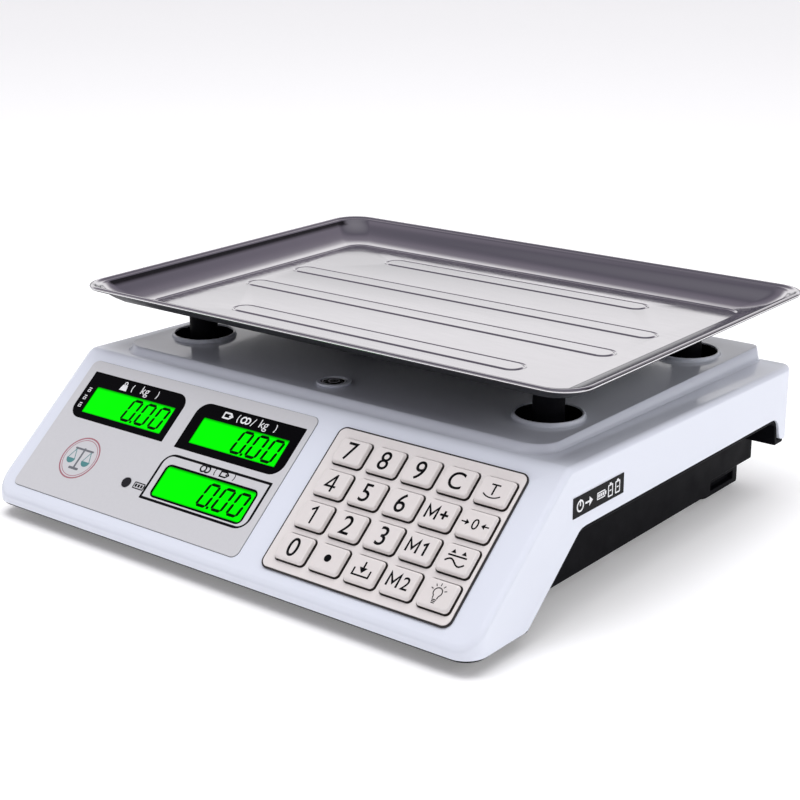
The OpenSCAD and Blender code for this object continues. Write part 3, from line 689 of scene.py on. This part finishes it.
# Rings from the curled rim inwards: distance in from the outline, height from the rim's top
RIM = [(1.3, -2.5), (0.5, -2.1), (0.1, -1.5), (0.0, -1.0), (0.25, -0.45), (0.8, -0.1), (1.5, 0.0),
       (2.2, -0.12), (2.8, -0.42), (3.3, -0.8), (4.2, -1.0), (5.0, -1.15)]
WALL = [(5.6, -1.8), (6.4, -3.0), (8.0, -4.8), (10.5, -6.8), (13.5, -8.7), (17.0, -10.1), (21.0, -11.2),
        (24.5, -11.8), (FLOOR_INSET, -12.0)]
STEP = [(27.4, -12.1), (27.9, -12.45), (28.4, -12.5)]
# Ribs as (depth from the pan's middle, left end, right end)
RIBS = [(-69.4, -95.5, 106.5), (-21.2, -130.0, 130.0), (21.2, -130.0, 130.0), (69.4, -95.5, 95.5)]
RIB_R = 8.0
# A rib's edge, from its outline inwards: distance in, height above the floor
RIB_EDGE = [(0.0, 0.0), (0.4, -0.18), (0.8, -0.34), (1.15, -0.38), (1.5, -0.3), (1.9, -0.02), (2.3, 0.18),
            (2.8, 0.25)]


def pan_ring(bm, d, z):
    r = PAN_R + (FLOOR_R - PAN_R) * min(d / FLOOR_INSET, 1.0)
    return ring(bm, centred(PAN_W - 2 * d, PAN_D - 2 * d, r, 10, (0, PAN_Y)), z)


def stadium(y, x0, x1, r):
    return centred(x1 - x0, 2 * r, r - 0.001, 12, ((x0 + x1) / 2, y))


def weighing_pan():
    """The pressed pan: curled rim, dished walls, stepped floor and four long ribs."""
    rim_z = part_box("weighing_pan")[1].z / MM
    floor_z = rim_z + STEP[-1][1]
    bm = bmesh.new()
    rings = [pan_ring(bm, d, rim_z + z) for d, z in RIM + WALL + STEP]
    for outer, inner in zip(rings, rings[1:]):
        bridge(bm, outer, inner)
    # Painted shade: the outside of the curled rim takes the near-black underside colour
    curl = set(rings[0] + rings[1] + rings[2])
    for face in bm.faces:
        face.material_index = 1 if curl.issuperset(face.verts) else 0
    rib_feet = []
    for y, x0, x1 in RIBS:
        last = None
        for d, z in RIB_EDGE:
            now = ring(bm, stadium(PAN_Y + y, x0 + d, x1 - d, RIB_R - d), floor_z + z)
            if last:
                bridge(bm, last, now)
            else:
                rib_feet.append(now)
            last = now
        bm.faces.new(last)
    fill(bm, [rings[-1]] + rib_feet)
    for face in bm.faces:
        face.smooth = True
    piece = link("pressed_pan", bm, STEEL, "pan", ["weighing_pan"], mats=[STEEL, PAN_UNDERSIDE_SHADE])
    thick = piece.modifiers.new("sheet", "SOLIDIFY")
    thick.thickness = PAN_T * MM
    thick.offset = -1.0
    thick.use_even_offset = True
    # Painted shade: the sheet's lower face takes the near-black underside colour
    thick.material_offset = 1
    thick.material_offset_rim = 0
    piece.modifiers.new("normals", "WEIGHTED_NORMAL")


weighing_pan()

# ---- lettering: digits and plain signs


def glyphs(text, size, wide=1.0, weight=0.0):
    """A flat mesh of a few plain characters, centred, in mm; weight thickens their strokes."""
    curve = bpy.data.curves.new("glyph", "FONT")
    curve.body = text
    curve.size = size
    curve.offset = weight
    curve.resolution_u = 6
    holder = bpy.data.objects.new("glyph", curve)
    scene.collection.objects.link(holder)
    shape = bpy.data.meshes.new_from_object(holder.evaluated_get(bpy.context.evaluated_depsgraph_get()))
    bpy.data.objects.remove(holder)
    bpy.data.curves.remove(curve)
    xs = [v.co.x for v in shape.vertices]
    ys = [v.co.y for v in shape.vertices]
    mid = Vector(((min(xs) + max(xs)) / 2, (min(ys) + max(ys)) / 2, 0))
    for v in shape.vertices:
        v.co -= mid
        v.co.x *= wide
    return shape


def write(bm, text, size, at, z0, z1, wide=1.0, weight=0.0):
    """Adds characters as a thin raised print at a place in the plane."""
    shape = glyphs(text, size, wide, weight)
    part = bmesh.new()
    part.from_mesh(shape)
    bpy.data.meshes.remove(shape)
    bmesh.ops.remove_doubles(part, verts=part.verts, dist=1e-5)
    made = bmesh.ops.extrude_face_region(part, geom=part.faces[:])
    tops = [v for v in made["geom"] if isinstance(v, bmesh.types.BMVert)]
    bmesh.ops.translate(part, vec=(0, 0, z1 - z0), verts=tops)
    bmesh.ops.translate(part, vec=(at[0], at[1], z0), verts=part.verts)
    data = bpy.data.meshes.new("mark")
    part.to_mesh(data)
    part.free()
    bm.from_mesh(data)
    bpy.data.meshes.remove(data)

# ---- the sloped panel
# Panel plane: x is across, y is up the slope from the crease (so negative on the panel), z is outward.

press = next(j for j in frame["joints"] if j["name"] == "key_7_press")
SIN, COS = press["axis"][1], -press["axis"][2]
OVERLAY = (-155.6, 7.5, 172.4, 86.5)
OVERLAY_T_MM = 0.5
low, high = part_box("display_overlay")
crease = Vector((0.0, high.y, high.z - OVERLAY_T_MM * MM * COS)) + OVERLAY[1] * MM * Vector((0, COS, SIN))
PANEL = Matrix.Translation(crease) @ Matrix.Rotation(math.asin(SIN), 4, "X")

WINDOWS = [(-149.4, 14.5, 76.6, 30.6), (-62.9, 15.4, 76.0, 30.4), (-64.5, 49.7, 76.9, 29.7)]
WINDOW_RADII = [(8, 0.4, 8, 0.4), (0.4, 8, 0.4, 8), (0.4, 8, 0.4, 8)]
LCDS = [(-141.1, 23.6, 63.2, 17.4), (-55.4, 24.3, 62.3, 16.7), (-58.2, 57.1, 64.7, 18.7)]
LCD_SURFACE = 0.1
LCD_LAP = 0.3
INK_Z0, INK_Z1 = LCD_SURFACE + 0.01, LCD_SURFACE + 0.03
READING_MARGIN = 4.6
LEAN = 0.16
WINDOW_T = 0.52
LCD_GLOW = (0.0, 1.0, 0.0)


def lcd_material(name, glow):
    """A back-lit display: it glows, and painted shade in a vertex attribute dims it towards its edges, most
    at the top.
    """
    mat = surface(name, (0.0, 0.08, 0.0), 0.2, tint=0.05, specular=0.1)
    tree = mat.node_tree
    shader = tree.nodes["Principled BSDF"]
    dim = node(tree, "ShaderNodeAttribute", attribute_name="glow")
    tree.links.new(blend_colour(tree, dim.outputs["Fac"], tuple(c * 0.1 for c in glow), glow),
                   shader.inputs["Emission Color"])
    shader.inputs["Emission Strength"].default_value = 1.0
    return mat


LCD_LOOK = lcd_material("lcd_green", LCD_GLOW)


def lcd_face(bm, a, z):
    """A display surface as a grid, finer at its edges, with its glow in a vertex attribute that holds
    painted shade: dimmer at the edges, darkest along the top.
    """
    glow = bm.verts.layers.float.get("glow") or bm.verts.layers.float.new("glow")
    u, v, w, h = a

    def stops(length):
        rim = [0.0, 0.35, 0.8, 1.4, 2.2, 3.4]
        return rim + [length / 2] + [length - r for r in reversed(rim)]

    rows = []
    for y in stops(h):
        row = []
        for x in stops(w):
            vert = bm.verts.new((u + x, -v - h + y, z))
            # Painted shade: the glow falls to 0.3 at the sides and bottom and to 0.1 at the top edge, like
            # the frame's shadow
            side = min(x, w - x, y)
            upper = h - y
            vert[glow] = (0.3 + 0.7 * min(side / 1.4, 1.0)) * (0.1 + 0.9 * min(upper / 1.8, 1.0))
            row.append(vert)
        rows.append(row)
    for below, above in zip(rows, rows[1:]):
        for k in range(len(below) - 1):
            bm.faces.new((below[k], below[k + 1], above[k + 1], above[k]))


def zero_digit(bm, x0, y0, w, h, t):
    """A leaning seven-segment zero made of six separate bars."""
    gap = 0.08
    half = h / 2
    bars = [((0, h), (w, h)), ((w, h), (w, half)), ((w, half), (w, 0)),
            ((0, 0), (w, 0)), ((0, half), (0, 0)), ((0, h), (0, half))]
    for start, end in bars:
        p, q = Vector(start), Vector(end)
        along = (q - p).normalized()
        side = Vector((-along.y, along.x)) * t / 2
        p = p + along * gap
        q = q - along * gap
        nose = along * t / 2
        shape = [p, p + nose - side, q - nose - side, q, q - nose + side, p + nose + side]
        flat_mark(bm, [(x0 + s.x + LEAN * s.y, y0 + s.y) for s in shape], INK_Z0, INK_Z1)


def reading(bm, lcd, w, h, t, pitch):
    """The reading 0.00 set from a display's right-hand end; the point is a small square after its digit."""
    u, v, lcd_w, lcd_h = lcd
    x = u + lcd_w - READING_MARGIN - w
    bottom = -v - lcd_h / 2 - h / 2
    for k in range(3):
        if k == 2:
            cx = x + pitch - (pitch - w) / 2 - 0.5
            flat_mark(bm, [(cx - 0.8, bottom - 0.8), (cx + 0.8, bottom - 0.8),
                           (cx + 0.9, bottom + 0.8), (cx - 0.7, bottom + 0.8)], INK_Z0, INK_Z1)
        zero_digit(bm, x, bottom, w, h, t)
        x -= pitch


def lcd_faces(name, lcds, replaced, place):
    """Glowing display surfaces that reach a little under their frames."""
    bm = bmesh.new()
    for u, v, w, h in lcds:
        lcd_face(bm, (u - LCD_LAP, v - LCD_LAP, w + 2 * LCD_LAP, h + 2 * LCD_LAP), LCD_SURFACE)
    link(name, bm, LCD_LOOK, "housing", [replaced], place)


# Silver sheet with its three window openings
lamp_low, lamp_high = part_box("charge_lamp")
LAMP_AT = ((lamp_low.x + lamp_high.x) / 2 / MM, -73.4)
bm = bmesh.new()
sheet(bm, area(OVERLAY, [4.0] * 4),
      [area(WINDOWS[0], WINDOW_RADII[0]), area(WINDOWS[1], WINDOW_RADII[1]),
       area(LCDS[2], [2.6] * 4, grow=1.2), round_loop(3.1, 32, LAMP_AT)],
      OVERLAY_T_MM, edge=0.15)
link("overlay_sheet", bm, SILVER, "housing", ["display_overlay"], PANEL)

# Black window prints, the thin black line and the black border of the third display
bm = bmesh.new()
for k in (0, 1):
    window = area(WINDOWS[k], WINDOW_RADII[k], grow=-0.02)
    sheet(bm, window, [area(LCDS[k], [0.5] * 4)], WINDOW_T, edge=0.1)
sheet(bm, area(LCDS[2], [2.6] * 4, grow=1.18), [area(LCDS[2], [2.0] * 4)], WINDOW_T, edge=0.1)
link("window_prints", bm, FRAME_BLACK, "housing", ["display_windows"], PANEL)

bm = bmesh.new()
frame_mark(bm, area(WINDOWS[2], WINDOW_RADII[2]), area(WINDOWS[2], (0.2, 7.0, 0.2, 7.0), grow=-1.5),
           OVERLAY_T_MM, OVERLAY_T_MM + 0.02)
link("third_window_line", bm, PRINT_BLACK, "housing", place=PANEL)

lcd_faces("lcd_faces", LCDS, "lcd_modules", PANEL)

bm = bmesh.new()
for lcd in LCDS:
    reading(bm, lcd, 6.6, 13.2, 1.75, 10.9)
link("lcd_digits", bm, DIGIT, "housing", place=PANEL)

# ---- signs round the displays


def ring_mark(bm, at, outer, inner, z0, z1, points=28):
    """A flat ring round a centre."""
    frame_mark(bm, round_loop(outer, points, at), round_loop(inner, points, at), z0, z1)


def weight_sign(bm, x, y, z0, z1, s):
    """A plain weight: a trapezium with a ring on top."""
    body = [(-2.0, -1.7), (2.0, -1.7), (1.35, 0.9), (-1.35, 0.9)]
    flat_mark(bm, moved(body, x, y, s), z0, z1)
    ring_mark(bm, (x, y + 1.55 * s), 0.95 * s, 0.5 * s, z0, z1, 20)


def tag_sign(bm, x, y, z0, z1, s):
    """A plain price tag with its hole."""
    tag = [(-2.6, -1.5), (1.0, -1.5), (2.6, 0.0), (1.0, 1.5), (-2.6, 1.5)]
    inner = [(-1.9, -0.8), (0.72, -0.8), (1.6, 0.0), (0.72, 0.8), (-1.9, 0.8)]
    frame_mark(bm, moved(tag, x, y, s), moved(inner, x, y, s), z0, z1)
    flat_mark(bm, moved(round_loop(0.45, 14), x + 0.9 * s, y, s), z0, z1)


def coins_sign(bm, x, y, z0, z1, s):
    """Two plain overlapping coins."""
    ring_mark(bm, (x - 0.9 * s, y), 1.7 * s, 1.0 * s, z0, z1)
    rim = arc(0, 0, 1.35, -122, 122, 20)
    flat_mark(bm, moved(ribbon(rim, 0.7), x + 1.15 * s, y, s), z0, z1)


def battery_sign(bm, x, y, z0, z1, s):
    """A battery outline with three bars for its charge."""
    outer, inner = centred(5.0, 2.6, 0.3, 3), centred(4.2, 1.8, 0.1, 3)
    frame_mark(bm, moved(outer, x, y, s), moved(inner, x, y, s), z0, z1)
    flat_mark(bm, moved(centred(0.6, 1.2, 0.1, 3), x + 2.85 * s, y, s), z0, z1)
    for k in range(3):
        flat_mark(bm, moved(centred(0.9, 1.2, 0.05, 3), x + (-1.35 + 1.3 * k) * s, y, s), z0, z1)


def brackets(bm, x0, x1, y, z0, z1, h=4.6):
    """A pair of round brackets."""
    for x, turn in ((x0, 180), (x1, 0)):
        bow = arc(0, 0, h, turn - 32, turn + 32, 10)
        shift = h if turn == 180 else -h
        flat_mark(bm, moved(ribbon(bow, 0.55), x + shift, y), z0, z1)


W_Z0, W_Z1 = WINDOW_T, WINDOW_T + 0.025
bm = bmesh.new()
cx = LCDS[0][0] + LCDS[0][2] / 2
cy = -(WINDOWS[0][1] + LCDS[0][1]) / 2 - 0.1
weight_sign(bm, cx - 12.5, cy - 0.4, W_Z0, W_Z1, 1.4)
brackets(bm, cx - 6.2, cx + 14.4, cy, W_Z0, W_Z1)
write(bm, "kg", 7.2, (cx + 4.1, cy - 0.2), W_Z0, W_Z1)
for k in range(3):
    x, y = WINDOWS[0][0] + 4.2, -(LCDS[0][1] + 2.0 + 5.2 * k)
    flat_mark(bm, centred(2.2, 0.5, 0.1, 3, (x, y)), W_Z0, W_Z1)
    box = (x, y - 1.8)
    frame_mark(bm, centred(2.2, 1.7, 0.2, 3, box), centred(1.4, 0.9, 0.1, 3, box), W_Z0, W_Z1)
cx = LCDS[1][0] + LCDS[1][2] / 2
cy = -(WINDOWS[1][1] + LCDS[1][1]) / 2 - 0.1
tag_sign(bm, cx - 16.0, cy, W_Z0, W_Z1, 1.4)
brackets(bm, cx - 9.0, cx + 18.6, cy, W_Z0, W_Z1)
coins_sign(bm, cx - 3.4, cy, W_Z0, W_Z1, 1.3)
flat_mark(bm, ribbon([(cx + 1.3, cy - 2.4), (cx + 3.3, cy + 2.4)], 0.55), W_Z0, W_Z1)
write(bm, "kg", 7.2, (cx + 9.8, cy - 0.2), W_Z0, W_Z1)
link("window_signs", bm, PRINT_WHITE, "housing", place=PANEL)

S_Z0, S_Z1 = OVERLAY_T_MM, OVERLAY_T_MM + 0.025
bm = bmesh.new()
cx = LCDS[2][0] + LCDS[2][2] / 2
cy = -(WINDOWS[2][1] + LCDS[2][1] - 1.2) / 2 - 0.1
coins_sign(bm, cx - 8.0, cy, S_Z0, S_Z1, 1.4)
brackets(bm, cx - 1.0, cx + 13.4, cy, S_Z0, S_Z1, 3.9)
tag_sign(bm, cx + 6.2, cy, S_Z0, S_Z1, 1.3)
battery_sign(bm, LAMP_AT[0] + 9.6, LAMP_AT[1] + 0.1, S_Z0, S_Z1, 1.6)
link("overlay_signs", bm, PRINT_BLACK, "housing", place=PANEL)

# A plain balance in a ring, at the lower left of the sheet
BADGE = (-120.3, -68.2)
BADGE_R = 13.4
bx, by = BADGE
bm = bmesh.new()
ring_mark(bm, BADGE, BADGE_R, BADGE_R - 0.9, S_Z0, S_Z1, 64)
ring_mark(bm, BADGE, BADGE_R - 1.7, BADGE_R - 2.1, S_Z0, S_Z1, 64)
link("badge_ring", bm, ROSE, "housing", place=PANEL)
bm = bmesh.new()
flat_mark(bm, centred(1.3, 13.0, 0.4, 3, (bx, by)), S_Z0, S_Z1)
flat_mark(bm, centred(7.6, 1.5, 0.6, 3, (bx, by - 6.8)), S_Z0 + 0.001, S_Z1 + 0.001)
flat_mark(bm, centred(14.6, 1.2, 0.5, 3, (bx, by + 5.4)), S_Z0 + 0.001, S_Z1 + 0.001)
link("badge_stand", bm, PRINT_GREY, "housing", place=PANEL)
bm = bmesh.new()
for side in (-1, 1):
    px = bx + side * 5.9
    flat_mark(bm, ribbon([(px - 2.6, by - 1.2), (px, by + 4.8), (px + 2.6, by - 1.2)], 0.5), S_Z0, S_Z1)
    flat_mark(bm, arc(px, by - 1.2, 3.2, 180, 360, 14), S_Z0 + 0.001, S_Z1 + 0.001)
link("badge_pans", bm, TEAL, "housing", place=PANEL)

# Thin pressed line where the sheet meets the casing
bm = bmesh.new()
frame_mark(bm, area(OVERLAY, [4.0] * 4, grow=0.28), area(OVERLAY, [4.0] * 4, grow=0.02), 0.0, 0.03)
link("overlay_seam", bm, PRINT_GREY, "housing", place=PANEL)

# ---- keypad plate and keys

PLATE_AREA = (33.4, 9.2, 115.5, 83.7)
PLATE_T = 1.2
PITCH_U, PITCH_V = 22.07, 19.15
KEY_U, KEY_V = 48.85, 22.65
KEY_W, KEY_D, KEY_R = 19.0, 15.5, 2.4
KEY_TOP = 4.0
GAP = 0.35
PLATE_EDGE = 0.35
# Painted shade: near black for the shade along the keypad plate's edge
PLATE_EDGE_SHADE = surface("plate_edge_painted_shade", (0.03, 0.026, 0.026), 0.4, tint=0.2)

bm = bmesh.new()
holes = []
for j in range(4):
    for i in range(5):
        at = (KEY_U + i * PITCH_U, -KEY_V - j * PITCH_V)
        holes.append(centred(KEY_W + 2 * GAP, KEY_D + 2 * GAP, KEY_R + 0.2, 6, at))
sheet(bm, area(PLATE_AREA, [4.0] * 4, 9), holes, PLATE_T, edge=PLATE_EDGE)
link("keypad_face", bm, PLATE, "housing", ["keypad_plate"], PANEL)

# Painted shade: a near-black ring round the plate stands in for the shade along its edge and the groove
# beside it
bm = bmesh.new()
outer = area(PLATE_AREA, [4.0] * 4, 9, grow=0.85)
inner = area(PLATE_AREA, [4.0] * 4, 9, grow=0.03)
sheet(bm, outer, [inner], 1.0, edge=0.2)
link("keypad_shade_ring", bm, PLATE_EDGE_SHADE, "housing", place=PANEL)


KEY_EDGE = 0.8
KEY_DRAFT = 0.7
DIGIT_SIZE = 14.8
STROKE_GROWTH = 0.04
MARK_Z0, MARK_Z1 = KEY_TOP - 0.11, KEY_TOP + 0.012
# Between two prints that overlap
LIFT = 0.001


def key_shape(bm, cx, cy):
    """A key: a skirt painted dark as shade, lighter top with a rounded edge and a faint dish."""
    def loop(d, z):
        return (centred(KEY_W - 2 * d, KEY_D - 2 * d, max(KEY_R - d, 0.5), 7, (cx, cy)), z)

    waist = PLATE_T + 0.9
    # The skirt takes the second material, painted shade
    skirt = loft(bm, [loop(0, -0.4), loop(0, PLATE_T), loop(0.2, waist)], cap_high=False, index=1)
    rounding = []
    for k in range(1, 6):
        a = math.pi / 2 * k / 5
        rounding.append(loop(KEY_DRAFT + KEY_EDGE * (1 - math.cos(a)),
                             KEY_TOP - KEY_EDGE + KEY_EDGE * math.sin(a)))
    dish = [loop(2.2, KEY_TOP - 0.01), loop(3.2, KEY_TOP - 0.05), loop(4.8, KEY_TOP - 0.10)]
    side = [loop(0.2, waist + 0.02), loop(KEY_DRAFT, KEY_TOP - KEY_EDGE)]
    top = loft(bm, side + rounding + dish, cap_low=False)
    bridge(bm, skirt[-1], top[0])
    for face in bm.faces:
        face.smooth = True


def mark(bm, shape, lift=0.0):
    """A flat print on a key's top."""
    flat_mark(bm, shape, MARK_Z0 + lift, MARK_Z1 + lift)


def character(bm, text, size, at=(0.0, 0.0), wide=1.0, weight=0.0):
    """A character on a key's top."""
    write(bm, text, size, at, MARK_Z0, MARK_Z1, wide, weight)


def bulb_sign(bm):
    """A plain bulb with rays."""
    mark(bm, ribbon([(0.9, -1.9)] + arc(0, 0.6, 1.75, -52, 232, 22) + [(-0.9, -1.9)], 0.34))
    for k in range(3):
        mark(bm, centred(1.9 - 0.25 * k, 0.34, 0.1, 3, (0, -2.3 - 0.62 * k)))
    for a in (20, 55, 90, 125, 160):
        ca, sa = math.cos(math.radians(a)), math.sin(math.radians(a))
        mark(bm, ribbon([(2.5 * ca, 0.6 + 2.5 * sa), (3.5 * ca, 0.6 + 3.5 * sa)], 0.3))


def zero_sign(bm):
    """A zero between two inward arrows."""
    character(bm, "0", 6.8)
    for side in (-1, 1):
        mark(bm, ribbon([(side * 6.6, 0), (side * 4.2, 0)], 0.6))
        mark(bm, [(side * 2.9, 0), (side * 4.6, 1.3), (side * 4.6, -1.3)], LIFT)


def store_sign(bm):
    """An arrow going down into a tray."""
    mark(bm, ribbon([(-3.9, 0.2), (-3.9, -2.8), (3.9, -2.8), (3.9, 0.2)], 0.7))
    mark(bm, ribbon([(0, 3.4), (0, 0.6)], 0.75))
    mark(bm, [(0, -1.6), (1.9, 0.8), (-1.9, 0.8)], LIFT)


def live_sign(bm):
    """A pan that moves up and down: a plate and two arrows over a wave."""
    wave = [(t / 10.0 * 9.0 - 4.5, 1.3 * math.sin(t / 10.0 * 2 * math.pi)) for t in range(11)]
    mark(bm, moved(ribbon(wave, 0.65), 0.0, -1.7))
    mark(bm, centred(8.6, 0.65, 0.2, 3, (0.0, 1.0)))
    for side in (-1, 1):
        mark(bm, [(side * 2.4, 3.6), (side * 2.4 + 1.1, 2.0), (side * 2.4 - 1.1, 2.0)])


def tare_sign(bm):
    """A letter T over a short dish line."""
    character(bm, "T", 7.4, (0.0, 0.4))
    mark(bm, ribbon(arc(0, 3.2, 6.6, 232, 308, 12), 0.55), LIFT)


def point_sign(bm):
    """A round point."""
    mark(bm, round_loop(2.0, 32))


def one_sign(bm, at=(0.0, 0.0), h=10.0):
    """A figure one with its flag."""
    stroke = [(-0.22 * h, 0.26 * h), (0.06 * h, 0.5 * h - 0.5), (0.06 * h, -0.5 * h)]
    mark(bm, moved(ribbon(stroke, 1.1), *at))


def four_sign(bm):
    """A figure four with an open triangle."""
    mark(bm, ribbon([(1.4, -5.0), (1.4, 5.0)], 1.15))
    flat_mark(bm, ribbon([(1.1, 4.2), (-3.0, -2.0), (3.4, -2.0)], 1.1), MARK_Z0, MARK_Z1 + LIFT)


def memory_sign(bm, sign):
    """A letter M beside a digit or a plus."""
    mark(bm, ribbon([(-6.2, -3.6), (-6.2, 3.2), (-3.3, -1.6), (-0.4, 3.2), (-0.4, -3.6)], 1.15))
    if sign == "+":
        mark(bm, centred(4.6, 1.15, 0.1, 3, (3.9, 0.0)))
        mark(bm, centred(1.15, 4.6, 0.1, 3, (3.9, 0.0)), LIFT)
    elif sign == "1":
        one_sign(bm, (3.6, -0.2), 7.0)
    else:
        character(bm, sign, 9.8, (3.9, -0.2), 0.95, STROKE_GROWTH)


# What draws each sign and how much larger than its base size it is
SIGNS = {"point": (point_sign, 1.0), "zero": (zero_sign, 1.2), "store": (store_sign, 1.25),
         "live": (live_sign, 1.25), "tare": (tare_sign, 1.2), "light": (bulb_sign, 1.35),
         "1": (one_sign, 1.0), "4": (four_sign, 1.0)}
MEMORY_SIGNS = {"sum": "+", "m1": "1", "m2": "2"}
ROWS = [["7", "8", "9", "clear", "tare"], ["4", "5", "6", "sum", "zero"],
        ["1", "2", "3", "m1", "live"], ["0", "point", "store", "m2", "light"]]
for j, row in enumerate(ROWS):
    for i, name in enumerate(row):
        low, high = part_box("key_" + name)
        cx = (low.x + high.x) / 2 / MM
        cy = -KEY_V - j * PITCH_V
        body = "key_" + name + "_body"
        bm = bmesh.new()
        key_shape(bm, cx, cy)
        link("keytop_" + name, bm, KEY, body, ["key_" + name], PANEL, [KEY, KEY_SKIRT_SHADE])
        bm = bmesh.new()
        if name in SIGNS:
            draw, growth = SIGNS[name]
            draw(bm)
            bmesh.ops.scale(bm, vec=(growth, growth, 1.0), verts=bm.verts)
        elif name in MEMORY_SIGNS:
            memory_sign(bm, MEMORY_SIGNS[name])
        elif name == "clear":
            character(bm, "C", 13.6, weight=STROKE_GROWTH)
        else:
            character(bm, name, DIGIT_SIZE, wide=0.95, weight=STROKE_GROWTH)
        bmesh.ops.translate(bm, vec=(cx, cy, 0.0), verts=bm.verts)
        link("keymark_" + name, bm, PRINT_BLACK, body, place=PANEL)

# ---- side label

low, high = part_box("side_label")
SIDE = Matrix(((0, 0, 1, high.x), (1, 0, 0, (low.y + high.y) / 2), (0, 1, 0, (low.z + high.z) / 2),
               (0, 0, 0, 1)))
L_Z0, L_Z1 = 0.0, 0.03
bm = bmesh.new()
ring_mark(bm, (-16.6, 0), 3.1, 2.2, L_Z0, L_Z1)
flat_mark(bm, centred(0.9, 3.4, 0.2, 3, (-16.6, 1.6)), L_Z0 + 0.004, L_Z1 + 0.004)
arrow = [(-12.2, -0.5), (-8.6, -0.5), (-8.6, -2.4), (-5.6, 0), (-8.6, 2.4), (-8.6, 0.5), (-12.2, 0.5)]
flat_mark(bm, arrow, L_Z0, L_Z1)
battery_sign(bm, 1.8, 0.0, L_Z0, L_Z1, 1.45)
for x in (10.2, 16.8):
    frame_mark(bm, centred(4.4, 6.4, 0.5, 3, (x, -0.3)), centred(3.0, 5.0, 0.2, 3, (x, -0.3)), L_Z0, L_Z1)
    flat_mark(bm, centred(1.6, 0.9, 0.1, 3, (x, 3.3)), L_Z0, L_Z1)
    flat_mark(bm, centred(1.8, 0.6, 0.1, 3, (x, -0.3)), L_Z0, L_Z1)
link("label_signs", bm, PRINT_WHITE, "housing", place=SIDE)

# ---- bubble level

low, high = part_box("level_vial")
vial = (low + high) / 2 / MM
VIAL_R = (high.x - low.x) / 2 / MM
top = high.z / MM
bm = bmesh.new()
rings = [(VIAL_R, low.z / MM), (VIAL_R, top - 0.5), (VIAL_R - 0.25, top - 0.15), (VIAL_R - 0.8, top),
         (VIAL_R * 0.6, top + 0.12), (VIAL_R * 0.3, top + 0.2), (0.4, top + 0.22)]
loft(bm, [(round_loop(r, 40, (vial.x, vial.y)), z) for r, z in rings])
link("vial_lens", bm, LENS, "housing", ["level_vial"])
bm = bmesh.new()
for outer_r, inner_r in ((VIAL_R - 0.5, VIAL_R - 1.1), (3.0, 2.6)):
    drop = 0.05 if outer_r > 4 else 0.14
    ring_mark(bm, (vial.x, vial.y), outer_r, inner_r, top + drop, top + drop + 0.06, 40)
link("vial_rings", bm, PRINT_WHITE, "housing")

# ---- customer side

low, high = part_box("rear_overlay")
REAR = Matrix(((-1, 0, 0, 0), (0, 0, 1, low.y), (0, 1, 0, 0), (0, 0, 0, 1)))
REAR_SHEET = (-high.x / MM, -high.z / MM, (high.x - low.x) / MM, (high.z - low.z) / MM)
REAR_XS = (-112.0, -33.0, 46.0)
REAR_WINDOW_W, REAR_WINDOW_H = 66.0, 24.0
REAR_WINDOW_TOP = -68.0
REAR_RADII = [3.0] * 4
rear_windows = [(-x - REAR_WINDOW_W, REAR_WINDOW_TOP, REAR_WINDOW_W, REAR_WINDOW_H) for x in REAR_XS]
REAR_RIM_U, REAR_RIM_V = 4.6, 3.4
rear_lcds = [(u + REAR_RIM_U, v + REAR_RIM_V, w - 2 * REAR_RIM_U, h - 2 * REAR_RIM_V)
             for u, v, w, h in rear_windows]

bm = bmesh.new()
openings = [area(a, REAR_RADII) for a in rear_windows]
sheet(bm, area(REAR_SHEET, REAR_RADII), openings, OVERLAY_T_MM, edge=0.15)
link("rear_sheet", bm, SILVER, "housing", ["rear_overlay"], REAR)
bm = bmesh.new()
for a, lcd in zip(rear_windows, rear_lcds):
    sheet(bm, area(a, REAR_RADII, grow=-0.02), [area(lcd, [0.5] * 4)], WINDOW_T, edge=0.1)
link("rear_window_prints", bm, FRAME_BLACK, "housing", ["rear_windows"], REAR)
lcd_faces("rear_lcd_faces", rear_lcds, "rear_lcd_modules", REAR)
bm = bmesh.new()
for lcd in rear_lcds:
    reading(bm, lcd, 6.2, 12.4, 1.7, 10.4)
for (u, v, w, h), sign in zip(rear_lcds, (weight_sign, tag_sign, coins_sign)):
    sign(bm, u + 7.0, -v - h / 2, INK_Z0, INK_Z1, 1.3)
link("rear_lcd_digits", bm, DIGIT, "housing", place=REAR)
